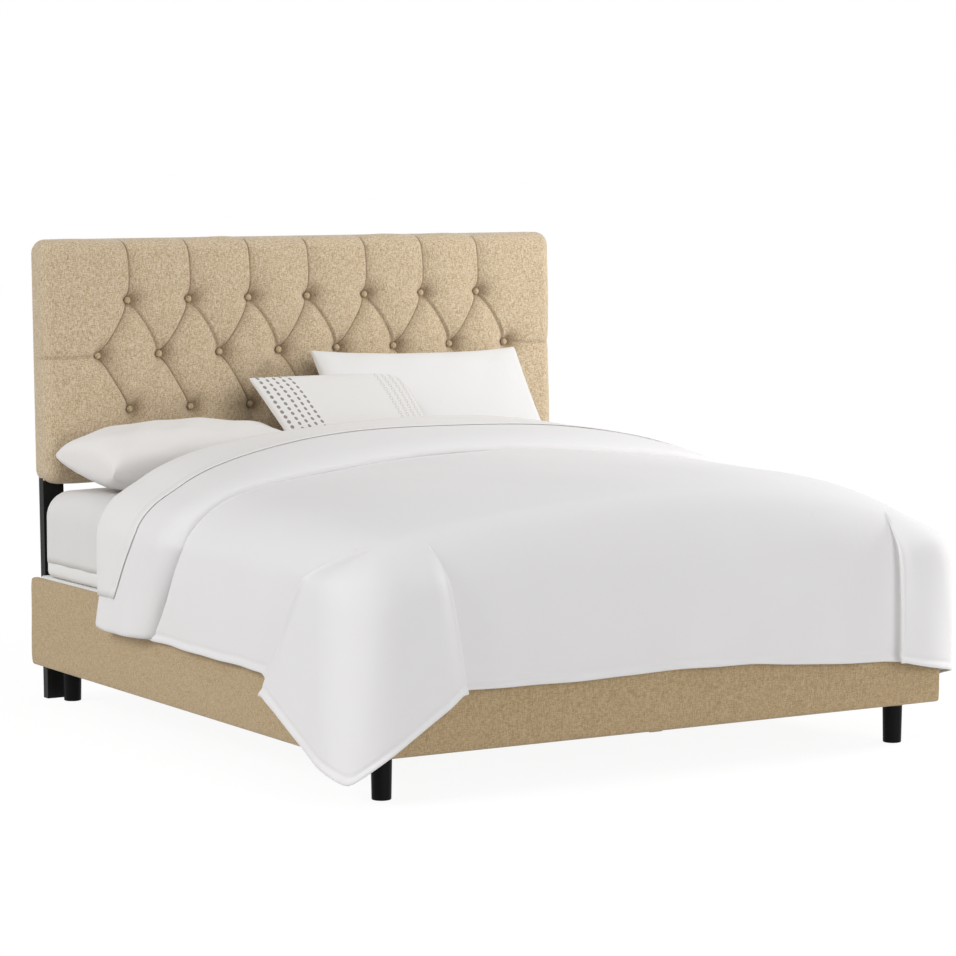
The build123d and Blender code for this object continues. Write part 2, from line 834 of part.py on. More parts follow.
def hem_cuts():
    """What is cut away under the hem: a straight hem, and a long point at each foot corner."""
    reach = bed_half_width + duvet_side_reach + overrun
    front = foot_face - duvet_foot_reach - overrun
    flap_end = foot_face + duvet_flap_side
    head = duvet_head + overrun
    below = duvet_tip - overrun
    side_edges = Polyline(
        (0, front, below), (0, front, duvet_tip), (0, foot_face, duvet_tip),
        (0, flap_end, duvet_side_hem - duvet_flap_corner), (0, flap_end + duvet_flap_corner, duvet_side_hem),
        (0, head, duvet_side_hem), (0, head, below), close=True,
    )
    side = extrude(make_face(side_edges), reach - inner_half_width, dir=(1, 0, 0))
    side = Pos(inner_half_width, 0, 0) * side
    corner_x = bed_half_width
    inner_x = bed_half_width - duvet_flap_front
    foot_edges = Polyline(
        (-corner_x, front, duvet_tip), (-inner_x, front, duvet_foot_hem), (inner_x, front, duvet_foot_hem),
        (corner_x, front, duvet_tip), (corner_x, front, below), (-corner_x, front, below), close=True,
    )
    foot = extrude(make_face(foot_edges), foot_inner_face - front, dir=(0, 1, 0))
    return [*both_sides(side), foot]


def duvet():
    body = duvet_body()
    for drop in (foot_drop(), *both_sides(side_drop())):
        body = body - drop
    return body + crown_body() + fold_body(0) - bed_space() - hem_cuts()


def flat_sheet():
    """The top sheet, turned down over the duvet's folded head edge."""
    reach = bed_half_width + duvet_side_reach + overrun
    band = block((-reach, reach), (turn_down_start, rail_end), (turn_down_hem, headboard_high))
    return (fold_body(fit + sheet) & band) - fold_body(fit) - bed_space()


# A pillow's half from the seam to its crown: share of the plan size, share of the crown
pillow_shares = ((1.0, 0.0), (0.93, 0.38), (0.78, 0.7), (0.55, 0.91), (0.2, 1.0))


def pillow(width, depth, crown):
    """A filled pillow lying flat: a sharp seam, drawn-in sides, pointed corners and a crown."""
    halves = []
    for up in (1, -1):
        sections = []
        for size, height in pillow_shares:
            sections.append(pillow_section(width * size, depth * size, up * crown * height))
        halves.append(loft(sections))
    return halves[0] + halves[1]


def pillow_section(width, depth, z):
    """One outline of a pillow: four drawn-in sides between four short corner arcs."""
    x, y = width / 2, depth / 2
    tip, draw = y * pillow_tip_share, y * pillow_draw_share
    corners = [(x, y), (-x, y), (-x, -y), (x, -y)]
    starts = [(x - tip, y), (-x, y - tip), (-x + tip, -y), (x, -y + tip)]
    middles = [(0, y - draw), (-x + draw, 0), (0, -y + draw), (x - draw, 0)]
    ends = [(-x + tip, y), (-x, -y + tip), (x - tip, -y), (x, y - tip)]
    edges = []
    for i in range(len(corners)):
        after = (i + 1) % len(corners)
        edges.append(ThreePointArc((*starts[i], z), (*middles[i], z), (*ends[i], z)))
        edges.append(arc_between((*ends[i], z), (*starts[after], z), (*corners[after], z)))
    return make_face(edges)


def seated(body, x, set_off):
    """A pillow set down before the headboard, its lowest point on the fitted sheet."""
    return Pos(x, post_face - set_off, bed_surface - body.bounding_box().min.Z) * body


def sleeping_pillow():
    body = pillow(sleeping_pillow_width, sleeping_pillow_depth, sleeping_pillow_crown)
    return seated(Rot(sleeping_pillow_tilt, 0, 0) * body, sleeping_pillow_x, sleeping_pillow_set_off)


def sham():
    body = pillow(sham_width, sham_depth, sham_crown)
    return seated(Rot(sham_tilt, 0, 0) * body, sham_x, sham_set_off)


def accent_pillow():
    body = pillow(accent_width, accent_depth, accent_crown)
    return seated(Rot(accent_tilt, 0, 0) * body, accent_x, accent_set_off)


def group(shapes):
    return Compound(shapes)


# Every piece, under the name of its file
pieces = {
    "headboard_post_left": headboard_post(-1),
    "headboard_post_right": headboard_post(1),
    "headboard_rails": leaning * group(headboard_rails()),
    "headboard_stiles": leaning * group(headboard_stiles()),
    "headboard_panel": leaning * headboard_panel(),
    "headboard_foam": leaning * headboard_foam(),
    "headboard_cover": leaning * headboard_cover(),
    "headboard_buttons": leaning * group(headboard_buttons()),
    "tufting_twine": leaning * group(tufting_twine()),
    "twine_washers": leaning * group(twine_washers()),
    "headboard_back_cloth": leaning * headboard_back_cloth(),
    "post_bolts": group(post_bolts()),
    "side_board_left": side_board(-1),
    "side_board_right": side_board(1),
    "side_wrap_left": side_wrap(-1),
    "side_wrap_right": side_wrap(1),
    "foot_board": foot_board(),
    "foot_wrap": foot_wrap(),
    "ledger_left": ledger(-1),
    "ledger_right": ledger(1),
    "slats": group(slats()),
    "center_beam": center_beam(),
    "center_legs": group(center_legs()),
    "leg_front_left": leg(leg_places()[0]),
    "leg_front_right": leg(leg_places()[1]),
    "leg_head_left": leg(leg_places()[2]),
    "leg_head_right": leg(leg_places()[3]),
    "leg_plates": group(leg_plates()),
    "leg_blocks": group(leg_blocks()),
    "leg_bolts": group(leg_bolts()),
    "corner_brackets": group(corner_brackets()),
    "post_brackets": group(post_brackets()),
    "foundation": foundation(),
    "mattress": mattress(),
    "fitted_sheet": fitted_sheet(),
    "duvet": duvet(),
    "flat_sheet": flat_sheet(),
    "sleeping_pillow": sleeping_pillow(),
    "sham": sham(),
    "accent_pillow": accent_pillow(),
}

# The soft outline sets the middle, so it is measured before every piece moves to the origin
middle = Compound(list(pieces.values())).bounding_box().center()
os.makedirs("parts", exist_ok=True)
for name, shape in pieces.items():
    export_step(Pos(-middle.X, -middle.Y, 0) * shape, f"parts/{name}.step")
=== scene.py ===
import math

import bpy
import numpy as np
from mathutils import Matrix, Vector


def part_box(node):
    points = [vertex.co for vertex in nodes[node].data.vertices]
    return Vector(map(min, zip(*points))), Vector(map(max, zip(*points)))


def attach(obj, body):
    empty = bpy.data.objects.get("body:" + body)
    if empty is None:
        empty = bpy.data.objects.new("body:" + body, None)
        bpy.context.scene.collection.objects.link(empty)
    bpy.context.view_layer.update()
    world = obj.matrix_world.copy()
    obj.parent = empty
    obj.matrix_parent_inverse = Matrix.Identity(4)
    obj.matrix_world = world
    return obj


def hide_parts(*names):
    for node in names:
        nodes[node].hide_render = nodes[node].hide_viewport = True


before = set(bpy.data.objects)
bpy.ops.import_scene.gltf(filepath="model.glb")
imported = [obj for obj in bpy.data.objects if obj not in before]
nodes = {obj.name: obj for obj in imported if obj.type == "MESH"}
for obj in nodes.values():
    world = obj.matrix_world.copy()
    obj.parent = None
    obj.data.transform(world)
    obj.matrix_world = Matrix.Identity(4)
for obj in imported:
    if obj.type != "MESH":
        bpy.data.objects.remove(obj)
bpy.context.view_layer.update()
bpy.ops.object.select_all(action="DESELECT")
foot_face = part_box("foot_wrap")[0][1]

# Headboard cover: one length of slubbed linen over wadding, drawn tight over the panel,
# pleated in diamonds between the buttons and stapled behind the frame on all four sides.
headboard_lean = math.radians(1.5)
post_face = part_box("headboard_post_left")[0][1]
cover_half_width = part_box("headboard_cover")[1][0]
cover_low, cover_high = 0.684, 1.453
cover_front, cover_back = -0.074, 0.0345
cover_rounding, cover_step = 0.045, 0.0032
button_radius = 0.012
button_pitch = (2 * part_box("headboard_buttons")[1][0] - 2 * button_radius) / 7
button_row_pitch, button_middle_row = 0.1728, 1.0839
pleat_run, top_slant = 0.02, 0.012
top_bow, left_bow, right_bow, low_bow = 0.008, 0.010, 0.016, 0.002
pleat_depths = {"lap": 0.013, "tuck": 0.009, "soft": 0.006}
button_depth, edge_depth, end_power = 0.030, 0.005, 3.2
lap_steep, lap_gentle, soft_width, pleat_edge = 0.0045, 0.020, 0.016, 0.001
pull_depth, pull_width = 0.006, 0.045
side_reach, side_sag, side_width = 0.25, 0.004, 0.012
dimple_depth, dimple_width, dimple_widening, dimple_power = 0.036, 0.026, 0.009, 1.25
dimple_pull_width, gather_count = 0.06, 17
# Raised edges, and shade painted into the colour along a pleat or round a button: place off its
# line, width and strength. The fan is painted shade on each button's right, where light from the
# right leaves the dimple dark.
lap_ridge, lap_shade_line = (-0.008, 0.0045, 0.0016), (0.0004, 0.0031, 0.85)
tuck_ridge, tuck_shade = (0.004, 0.0034, 0.0026), (-0.0035, 0.0035, 0.42)
side_shade_line, gathers = (0.003, 0.0022, 0.36), (0.026, 0.014, 0.0013)
button_shade, fan_shade = (0, 0.0155, 0.85), (0, 0.040, 0.60)
slack_waves = ((0.0016, 9, 3, 0), (0.0012, 23, -17, 1))
slack_reach = 0.05
linen_light = (0.69, 0.575, 0.42, 1)
linen_dark = (0.385, 0.27, 0.14, 1)
# The second colour below is painted shade, multiplied into the linen along the pleats and round
# the buttons.
linen_fleck, painted_shade_colour = (0.90, 0.86, 0.80, 1), (0.30, 0.20, 0.11, 1)
thread_stretches = ((70, 400, 400), (400, 70, 400), (360, 360, 60))
slub_range, fleck_scale, fleck_range, slub_scale = (1.24, 1.70), 170, (0.50, 0.72), 1.25
coarse_arc, fine_arc, fine_step, back_margin = 9, 14, 0.006, 0.02


def ramp(share):
    """A share held between 0 and 1."""
    return np.clip(share, 0, 1)


def below(z, level, reach=1):
    """A share that grows from 0 at a level to 1 at its reach below."""
    return ramp((level - z) / reach)


def hump(off, width):
    """A smooth rise to 1 where off is 0, about twice its width across."""
    return np.exp(-(off / width) ** 2)


def waves(x, y, parts):
    """A sum of sine waves, each with its height, its turns along x and y and its start."""
    return sum(height * np.sin(a * x + b * y + start) for height, a, b, start in parts)


def quads(start, rows, columns):
    """Faces of a grid of points, which are numbered row by row from start."""
    index = start + np.arange(rows * columns).reshape(rows, columns)
    corners = index[:-1, :-1], index[:-1, 1:], index[1:, 1:], index[1:, :-1]
    return np.stack(corners, -1).reshape(-1, 4).tolist()


def padded_slab(width, height, depth, rounding, step, back_rounding=0.008):
    """Points, outward normals and faces of a slab: across, up and back from its front corner."""
    def stations(length):
        stops = coarse_arc if step > fine_step else fine_arc
        arc = rounding * np.sin(np.linspace(0, np.pi / 2, stops))
        count = max(2, round((length - 2 * rounding) / step) + 1)
        flat = np.linspace(rounding, length - rounding, count)
        return np.concatenate([rounding - arc[:0:-1], flat, length - rounding + arc[1:]])

    across, up = np.meshgrid(stations(width), stations(height), indexing="ij")
    sides, excess = [], []
    for place, length in ((across, width), (up, height)):
        off = place - length / 2
        sides.append(np.sign(off))
        excess.append(ramp((abs(off) - length / 2 + rounding) / rounding))
    out_across = excess[0] * np.sqrt(1 - excess[1] ** 2 / 2)
    out_up = excess[1] * np.sqrt(1 - excess[0] ** 2 / 2)
    across = across + sides[0] * rounding * (out_across - excess[0])
    up = up + sides[1] * rounding * (out_up - excess[1])
    front = np.sqrt(ramp(1 - out_across ** 2 - out_up ** 2))
    points = [np.stack([across, up, rounding * (1 - front)], -1).reshape(-1, 3)]
    normals = [np.stack([sides[0] * out_across, sides[1] * out_up, -front], -1).reshape(-1, 3)]
    rows, columns = across.shape
    index = np.arange(rows * columns).reshape(rows, columns)
    faces = quads(0, rows, columns)
    rim = np.concatenate([index[:, 0], index[-1, 1:], index[-2::-1, -1], index[0, -2:0:-1]])
    rim_points, rim_normals = points[0][rim], normals[0][rim] * (1, 1, 0)
    wall_steps = max(2, round((depth - rounding - back_rounding) / max(step, fine_step)))
    places = [(0, rounding + (depth - rounding - back_rounding) * k / wall_steps, 0)
              for k in range(1, wall_steps + 1)]
    for turn in np.linspace(0, np.pi / 2, 4)[1:]:
        inward = back_rounding * (1 - np.cos(turn))
        places.append((inward, depth - back_rounding * (1 - np.sin(turn)), np.sin(turn)))
    places.append((back_rounding + back_margin, depth, 1))
    for inward, back, facing in places:
        points.append((rim_points - inward * rim_normals) * (1, 1, 0) + (0, 0, back))
        normals.append(rim_normals * math.sqrt(1 - facing ** 2) + (0, 0, facing))
    rings = rows * columns + np.arange(len(places) * len(rim)).reshape(len(places), -1)
    rings = np.concatenate([[rim], rings])
    turned = np.roll(rings, -1, axis=1)
    walls = np.stack([rings[:-1], turned[:-1], turned[1:], rings[1:]], -1)
    faces += walls.reshape(-1, 4).tolist() + [rings[-1].tolist()]
    return np.concatenate(points), np.concatenate(normals), faces


def pick(piece):
    """Makes a piece the only selected one, and the active one."""
    bpy.ops.object.select_all(action="DESELECT")
    bpy.context.view_layer.objects.active = piece
    piece.select_set(True)


def soft_piece(name, points, faces, close=0.0):
    """A piece from points and faces, its doubles merged and its faces turned outwards."""
    mesh = bpy.data.meshes.new(name)
    mesh.from_pydata(np.asarray(points).tolist(), [], [[int(i) for i in f] for f in faces])
    piece = bpy.data.objects.new(name, mesh)
    bpy.context.collection.objects.link(piece)
    pick(piece)
    bpy.ops.object.mode_set(mode="EDIT")
    bpy.ops.mesh.select_all(action="SELECT")
    if close:
        bpy.ops.mesh.remove_doubles(threshold=close)
    bpy.ops.mesh.normals_make_consistent(inside=False)
    bpy.ops.object.mode_set(mode="OBJECT")
    bpy.ops.object.shade_smooth()
    piece.select_set(False)
    return piece


def lean_back(x, y, z):
    """Headboard points on its lean, from upright ones with y from the posts' face."""
    cosine, sine = math.cos(headboard_lean), math.sin(headboard_lean)
    return np.stack([x, post_face + y * cosine + z * sine, z * cosine - y * sine], -1)


def put(tree, socket, value):
    """Links a socket into a node's socket, or sets its value."""
    if isinstance(value, bpy.types.NodeSocket):
        tree.links.new(value, socket)
    else:
        socket.default_value = value


def fill(tree, node, **values):
    """Gives a node its settings, such as operation, and its sockets, such as Base_Color."""
    for name, value in values.items():
        if name.islower():
            setattr(node, name, value)
        else:
            put(tree, node.inputs[name.replace("_", " ")], value)
    return node


def new_material(name, **values):
    """A new material, its node tree and its shader, with values for the shader."""
    material = bpy.data.materials.new(name)
    material.use_nodes = True
    tree = material.node_tree
    return material, tree, fill(tree, tree.nodes["Principled BSDF"], **values)


def add_node(tree, kind, **values):
    """A new node in a tree."""
    return fill(tree, tree.nodes.new("ShaderNode" + kind), **values)


def reckon(tree, operation, *values):
    """The result of a new Math node."""
    node = add_node(tree, "Math", operation=operation)
    for socket, value in zip(node.inputs, values):
        put(tree, socket, value)
    return node.outputs[0]


def colour_mix(tree, factor, first, second, blend="MIX"):
    """The mix of two colours by a factor."""
    mix = add_node(tree, "Mix", data_type="RGBA", blend_type=blend, Factor=factor, A=first,
                   B=second)
    return mix.outputs["Result"]


def linen_weave():
    """Node group: masks for the linen's slubs and flecks, and the height of its threads."""
    group = bpy.data.node_groups.new("linen_weave", "ShaderNodeTree")
    face = group.interface
    face.new_socket("Slub scale", in_out="INPUT", socket_type="NodeSocketFloat").default_value = 1
    for name in ("Slub mask", "Fleck mask", "Height"):
        face.new_socket(name, in_out="OUTPUT", socket_type="NodeSocketFloat")
    inputs, outputs = group.nodes.new("NodeGroupInput"), group.nodes.new("NodeGroupOutput")
    place = add_node(group, "TexCoord").outputs["Object"]
    place = add_node(group, "VectorMath", operation="SCALE", Vector=place,
                     Scale=inputs.outputs["Slub scale"]).outputs[0]
    height = None
    for stretch in thread_stretches:
        mapping = add_node(group, "Mapping", Vector=place, Scale=stretch)
        noise = add_node(group, "TexNoise", Vector=mapping.outputs[0], Scale=1, Detail=2)
        thread = noise.outputs["Fac"]
        height = reckon(group, "ADD", height, thread) if height else thread
    patches = add_node(group, "TexNoise", Vector=place, Scale=fleck_scale, Detail=3)
    slub, fleck = (
        add_node(group, "MapRange", Value=value, From_Min=low, From_Max=high).outputs[0]
        for value, (low, high) in ((height, slub_range), (patches.outputs["Fac"], fleck_range)))
    fill(group, outputs, Slub_mask=slub, Fleck_mask=fleck, Height=height)
    return group


def linen_material(name, light, dark, bump, painted_shade_attribute=None):
    """Linen of a light and a dark thread, with shade painted into its colour where an attribute
    marks its creases and buttons.
    """
    material, tree, shader = new_material(
        name, Roughness=0.92, Specular_IOR_Level=0.18, Sheen_Weight=0.25, Sheen_Roughness=0.6)
    group = bpy.data.node_groups.get("linen_weave") or linen_weave()
    weave = add_node(tree, "Group", node_tree=group, Slub_scale=slub_scale)
    result = colour_mix(tree, weave.outputs["Slub mask"], dark, light)
    result = colour_mix(tree, weave.outputs["Fleck mask"], result, linen_fleck, "MULTIPLY")
    if painted_shade_attribute:
        # Painted shade: the attribute darkens the linen's colour.
        crease = add_node(tree, "Attribute", attribute_name=painted_shade_attribute)
        result = colour_mix(tree, crease.outputs["Fac"], result, painted_shade_colour, "MULTIPLY")
    relief = add_node(tree, "Bump", Strength=bump, Distance=0.0008, Height=weave.outputs["Height"])
    fill(tree, shader, Base_Color=result, Normal=relief.outputs["Normal"])
    return material


button_rows = []
for step_up, count in ((1, 7), (0, 8), (-1, 7)):
    height = button_middle_row + step_up * button_row_pitch
    button_rows.append([((i - (count - 1) / 2) * button_pitch, height) for i in range(count)])
# Each pleat: its two ends, how far it bows to the right, its kind, and how deep its far end is.
# A lap hides its line under the cloth on its left, a tuck shows a thin raised edge.
pleats = []
top_row, middle_row, bottom_row = button_rows
for i, ((top_x, top_z), (low_x, low_z)) in enumerate(zip(top_row, bottom_row)):
    top, low, left, right = (top_x, top_z), (low_x, low_z), middle_row[i], middle_row[i + 1]
    over, under = (top_x - top_slant, cover_high + pleat_run), (low_x, cover_low - pleat_run)
    pleats.append((top, over, top_bow, "lap", edge_depth))
    pleats.append((low, under, 0, "soft", edge_depth))
    pleats.append((top, left, left_bow, "lap", button_depth))
    pleats.append((top, right, right_bow, "tuck", button_depth))
    pleats.append((low, left, low_bow, "lap", button_depth))
    pleats.append((low, right, 0, "soft", button_depth))
side_pleats = [(middle_row[0], -1), (middle_row[-1], 1)]


def sharp_fold(depth, away, width):
    """How far a pleat draws the linen in, away from its line."""
    return depth * np.exp(-np.sqrt(away ** 2 + pleat_edge ** 2) / width)


def tufting(x, z):
    """How far pleats and dimples draw the linen in, and how much shade is painted along their
    lines and round the buttons.
    """
    drawn, painted_shade, raised = np.zeros_like(x), np.zeros_like(x), np.zeros_like(x)
    for (x1, z1), (x2, z2), bow, kind, end_depth in pleats:
        t = (z - z1) / (z2 - z1)
        along = ramp(t)
        centre = x1 + along * (x2 - x1) + 4 * bow * along * (1 - along)
        upright = abs(z2 - z1) / math.hypot(x2 - x1, z2 - z1)
        right = (x - centre) * upright
        away = np.hypot(right, (t - along) * (z2 - z1))
        middle = pleat_depths[kind]
        if end_depth < middle:
            middle = (middle + end_depth) / 2
        ends = np.where(along < 0.5, button_depth, end_depth)
        nearness = abs(2 * along - 1)
        depth = middle + (ends - middle) * nearness ** end_power
        steep_side = right < 0 if kind != "tuck" else right > 0
        width = np.where(steep_side, lap_steep if kind != "soft" else soft_width, lap_gentle)
        pull = pull_depth * hump(away, pull_width)
        drawn = np.maximum(drawn, sharp_fold(depth, away, width) + pull)
        if kind == "soft":
            continue
        between = (t > 0) * (t < 1)
        place, width, height = lap_ridge if kind == "lap" else tuck_ridge
        ridge = height * hump(right - place, width) * between * (1 - nearness ** 4)
        raised = np.maximum(raised, ridge)
        # Painted shade along the pleat: a dark line in a lap, a dark band beside a tuck.
        place, width, strength = lap_shade_line if kind == "lap" else tuck_shade
        if kind == "lap":
            strength = strength + (1 - strength) * nearness
            painted_shade = np.maximum(painted_shade, hump(away - place, width) * strength)
        else:
            painted_shade = np.maximum(painted_shade, hump(right - place, width) * between * strength)
    for (bx, bz), side in side_pleats:
        t = ramp((x - bx) / (side * side_reach))
        beyond = np.where((x - bx) * side < 0, abs(x - bx), 0)
        above = z - bz + side_sag * np.sin(math.pi * t)
        away = np.hypot(above, beyond)
        depth = edge_depth + (button_depth - edge_depth) * (1 - t) ** 4
        drawn = np.maximum(drawn, sharp_fold(depth, away, side_width))
        # Painted shade along the side pleat's line.
        place, width, strength = side_shade_line
        painted_shade = np.maximum(painted_shade, strength * hump(abs(above) - place, width) * (beyond == 0))
    for row in button_rows:
        for bx, bz in row:
            away = np.hypot(x - bx, z - bz) + 1e-6
            right = (x - bx) / away
            turn = np.arctan2(z - bz, x - bx)
            width = dimple_width + dimple_widening * right
            dimple = dimple_depth * np.exp(-(away / width) ** dimple_power)
            dimple = dimple + pull_depth * hump(away, dimple_pull_width)
            drawn = (drawn ** 4 + dimple ** 4) ** 0.25
            place, width, height = gathers
            pull = hump(away - place, width) * ramp(0.35 + right)
            raised = raised + height * pull * np.sin(gather_count * turn + 9 * bx)
            # Painted shade in each dimple, and a fan of it on the button's right.
            place, width, strength = button_shade
            painted_shade = np.maximum(painted_shade, strength * hump(away - place, width))
            place, width, strength = fan_shade
            painted_shade = np.maximum(painted_shade, strength * hump(away - place, width) * ramp(right + 0.15))
    return drawn - raised, painted_shade


points, normals, faces = padded_slab(
    2 * cover_half_width, cover_high - cover_low, cover_back - cover_front,
    cover_rounding, cover_step)
x, z, back = points[:, 0] - cover_half_width, points[:, 1] + cover_low, points[:, 2]
drawn, painted_shade = tufting(x, z)
slack = waves(x, z, slack_waves)
fade = ramp(1 - (back - cover_rounding) / slack_reach)
drawn = drawn * ramp(1.15 - back / (2.2 * cover_rounding))
offset = fade * (drawn - slack)
x, z = x - normals[:, 0] * offset, z - normals[:, 1] * offset
y = cover_front + back - normals[:, 2] * offset
headboard_cover = soft_piece("headboard_cover_linen", lean_back(x, y, z), faces)
# The crease attribute is painted shade: dark lines along the pleats, dark cores in the dimples and
# a dark fan on each button's right.
crease = headboard_cover.data.attributes.new("crease", "FLOAT", "POINT")
crease.data.foreach_set("value", (painted_shade * fade).astype(np.float32))
headboard_cover.data.materials.append(
    linen_material("headboard_linen", linen_light, linen_dark, 0.5, "crease"))
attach(headboard_cover, "root")
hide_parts("headboard_cover", "headboard_foam")

# Buttons: domed metal shells covered in the same linen, each drawn into its dimple
# by a twine that goes through the foam and the panel.
button_dome, button_seat, button_visible = 0.0075, -0.048, 0.0107
button_shell, button_back, back_share = 0.002, 0.004, 0.9
dome_rows, dome_sides = 7, 20
turn = np.linspace(0, math.pi / 2, dome_rows + 1)
radius = button_visible * np.append(back_share, np.cos(turn))
place = button_seat + np.append(button_back, -button_shell - button_dome * np.sin(turn))
around, place = np.meshgrid(np.linspace(0, 2 * math.pi, dome_sides + 1), place)
dome = np.stack(
    [radius[:, None] * np.cos(around), place, radius[:, None] * np.sin(around)], -1).reshape(-1, 3)
dome_faces = quads(0, *around.shape) + [range(dome_sides)]
points, faces = [], []
for bx, bz in top_row + middle_row + bottom_row:
    faces += [[i + len(points) * len(dome) for i in f] for f in dome_faces]
    points.append(dome + (bx, 0, bz))
points = np.concatenate(points)
buttons = soft_piece("headboard_buttons_linen", lean_back(*points.T), faces, close=1e-5)
buttons.data.materials.append(
    linen_material("button_linen", (0.62, 0.49, 0.31, 1), (0.36, 0.25, 0.13, 1), 0.4))
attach(buttons, "root")
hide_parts("headboard_buttons")

# Rails: plywood boards in a thinly padded linen wrap, turned over the edges and stapled inside.
# The foot rail's wrap runs across the ends of both side rails.
rail_rounding, rail_puff, puff_reach, rail_wave = 0.009, 0.003, 0.03, 0.0008
rail_step, rail_back_rounding = 0.012, 0.004
rail_linen = linen_material("rail_linen", (0.54, 0.41, 0.245, 1), (0.345, 0.24, 0.12, 1), 0.5)
for name, facing in (("side_wrap_left", -1), ("side_wrap_right", 1), ("foot_wrap", 0)):
    low, high = np.array(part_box(name)[0]), np.array(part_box(name)[1])
    size = high - low
    length, depth = (size[1], size[0]) if facing else (size[0], size[1])
    points, normals, faces = padded_slab(
        length, size[2], depth, rail_rounding, rail_step, rail_back_rounding)
    along, up = points[:, 0], points[:, 1]
    edge = np.minimum(up, size[2] - up)
    puff = rail_puff * ramp(edge / puff_reach)
    puff = puff + rail_wave * np.sin(13 * along) * np.sin(25 * up)
    depth = points[:, 2] + normals[:, 2] * np.where(normals[:, 2] < 0, puff, 0)
    x = high[0] - depth if facing > 0 else low[0] + (depth if facing else along)
    y = low[1] + (along if facing else depth)
    wrap = soft_piece(name + "_linen", np.stack([x, y, low[2] + up], -1), faces)
    wrap.data.materials.append(rail_linen)
    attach(wrap, "root")
    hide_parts(name)

# Feet and posts: moulded black plastic feet on thin brown plates, and flat posts painted satin
# black, which stand on the floor and are bolted to the side rails. The plates' dark brown is
# painted shade: the rail linen's colour in shadow.


def plain_finish(pieces, name, colour, roughness, grain_scale, grain_amount, bump,
                 metallic=0.0, specular=0.5):
    """Gives CAD pieces a finish whose colour and roughness vary with a stretched noise."""
    material, tree, shader = new_material(name, Metallic=metallic, Specular_IOR_Level=specular)
    mapping = add_node(
        tree, "Mapping", Vector=add_node(tree, "TexCoord").outputs["Object"], Scale=grain_scale)
    noise = add_node(tree, "TexNoise", Vector=mapping.outputs[0], Scale=1, Detail=4).outputs["Fac"]
    rough = add_node(
        tree, "MapRange", Value=noise, To_Min=roughness - 0.06, To_Max=roughness + 0.06)
    relief = add_node(tree, "Bump", Strength=bump, Distance=0.0005, Height=noise)
    tones = [[min(1, c * (1 + side * grain_amount)) for c in colour] + [1] for side in (-1, 1)]
    fill(tree, shader, Base_Color=colour_mix(tree, noise, *tones), Roughness=rough.outputs[0],
         Normal=relief.outputs["Normal"])
    for piece in pieces:
        nodes[piece].data.materials.clear()
        nodes[piece].data.materials.append(material)


plain_finish(
    ("leg_front_left", "leg_front_right", "leg_head_left", "leg_head_right", "center_legs"),
    "black_foot", (0.004, 0.004, 0.004), 0.42, (260, 260, 14), 0.35, 0.25, specular=0.08)
plain_finish(("headboard_post_left", "headboard_post_right"), "black_post_paint",
             (0.007, 0.007, 0.007), 0.5, (60, 60, 8), 0.3, 0.2, specular=0.18)
# Plates in painted shade: the dark brown of the rail linen in shadow.
plain_finish(
    ("leg_plates",), "painted_shade_plate", (0.13, 0.075, 0.035), 0.5, (80, 80, 80), 0.3, 0.2)

# Frame inside: planed pine rails, stiles, ledgers, slats and blocks, plywood boards and panel,
# zinc-plated bolts, black steel brackets, and the twine and washers behind the tufting.
for pieces, *finish in (
    (("headboard_rails", "slats", "leg_blocks"),
     "planed_pine", (0.62, 0.44, 0.25), 0.6, (5, 60, 60), 0.22, 0.4),
    (("headboard_stiles", "ledger_left", "ledger_right", "center_beam"),
     "planed_pine_lengths", (0.61, 0.43, 0.24), 0.6, (60, 5, 30), 0.22, 0.4),
    (("headboard_panel", "side_board_left", "side_board_right", "foot_board"),
     "plywood_sheet", (0.56, 0.40, 0.23), 0.65, (7, 7, 90), 0.2, 0.4),
    (("post_bolts", "leg_bolts"),
     "zinc_plate", (0.6, 0.6, 0.6), 0.35, (120, 120, 120), 0.12, 0.2, 1.0),
    (("corner_brackets", "post_brackets"),
     "black_powder_coat", (0.02, 0.02, 0.02), 0.5, (400, 400, 400), 0.3, 0.3),
    (("headboard_back_cloth",),
     "black_dust_cloth", (0.02, 0.02, 0.02), 0.95, (500, 500, 500), 0.5, 0.5),
    (("tufting_twine",),
     "waxed_twine", (0.70, 0.61, 0.42), 0.8, (900, 900, 900), 0.3, 0.6),
    (("twine_washers",),
     "tufting_washer", (0.72, 0.72, 0.68), 0.45, (90, 90, 90), 0.05, 0.1),
):
    plain_finish(pieces, *finish)


# Foundation and mattress: a low fabric-covered foundation, and a quilted mattress with a taped
# edge, both under the fitted sheet and between the rails.
def white_cloth(pieces, name, colour, weave_scale, bump, wrinkle=0.0, wrinkle_scale=9.0):
    """Dresses pieces in smooth cotton with a fine thread relief and a soft broad wrinkling."""
    material, tree, shader = new_material(
        name, Roughness=0.85, Specular_IOR_Level=0.2, Sheen_Weight=0.15, Sheen_Roughness=0.5)
    place = add_node(tree, "TexCoord").outputs["Object"]
    threads = add_node(tree, "TexNoise", Vector=place, Scale=weave_scale, Detail=2).outputs["Fac"]
    folds = add_node(
        tree, "TexNoise", Vector=place, Scale=wrinkle_scale, Detail=3, Distortion=0.6)
    relief = add_node(tree, "Bump", Strength=bump, Distance=0.0004, Height=threads)
    relief = add_node(tree, "Bump", Strength=wrinkle, Distance=0.012, Height=folds.outputs["Fac"],
                      Normal=relief.outputs["Normal"])
    tones = [[share * c for c in colour] + [1] for share in (0.97, 1)]
    fill(tree, shader, Base_Color=colour_mix(tree, threads, *tones),
         Normal=relief.outputs["Normal"])
    for piece in pieces:
        piece.data.materials.append(material)
    return tree


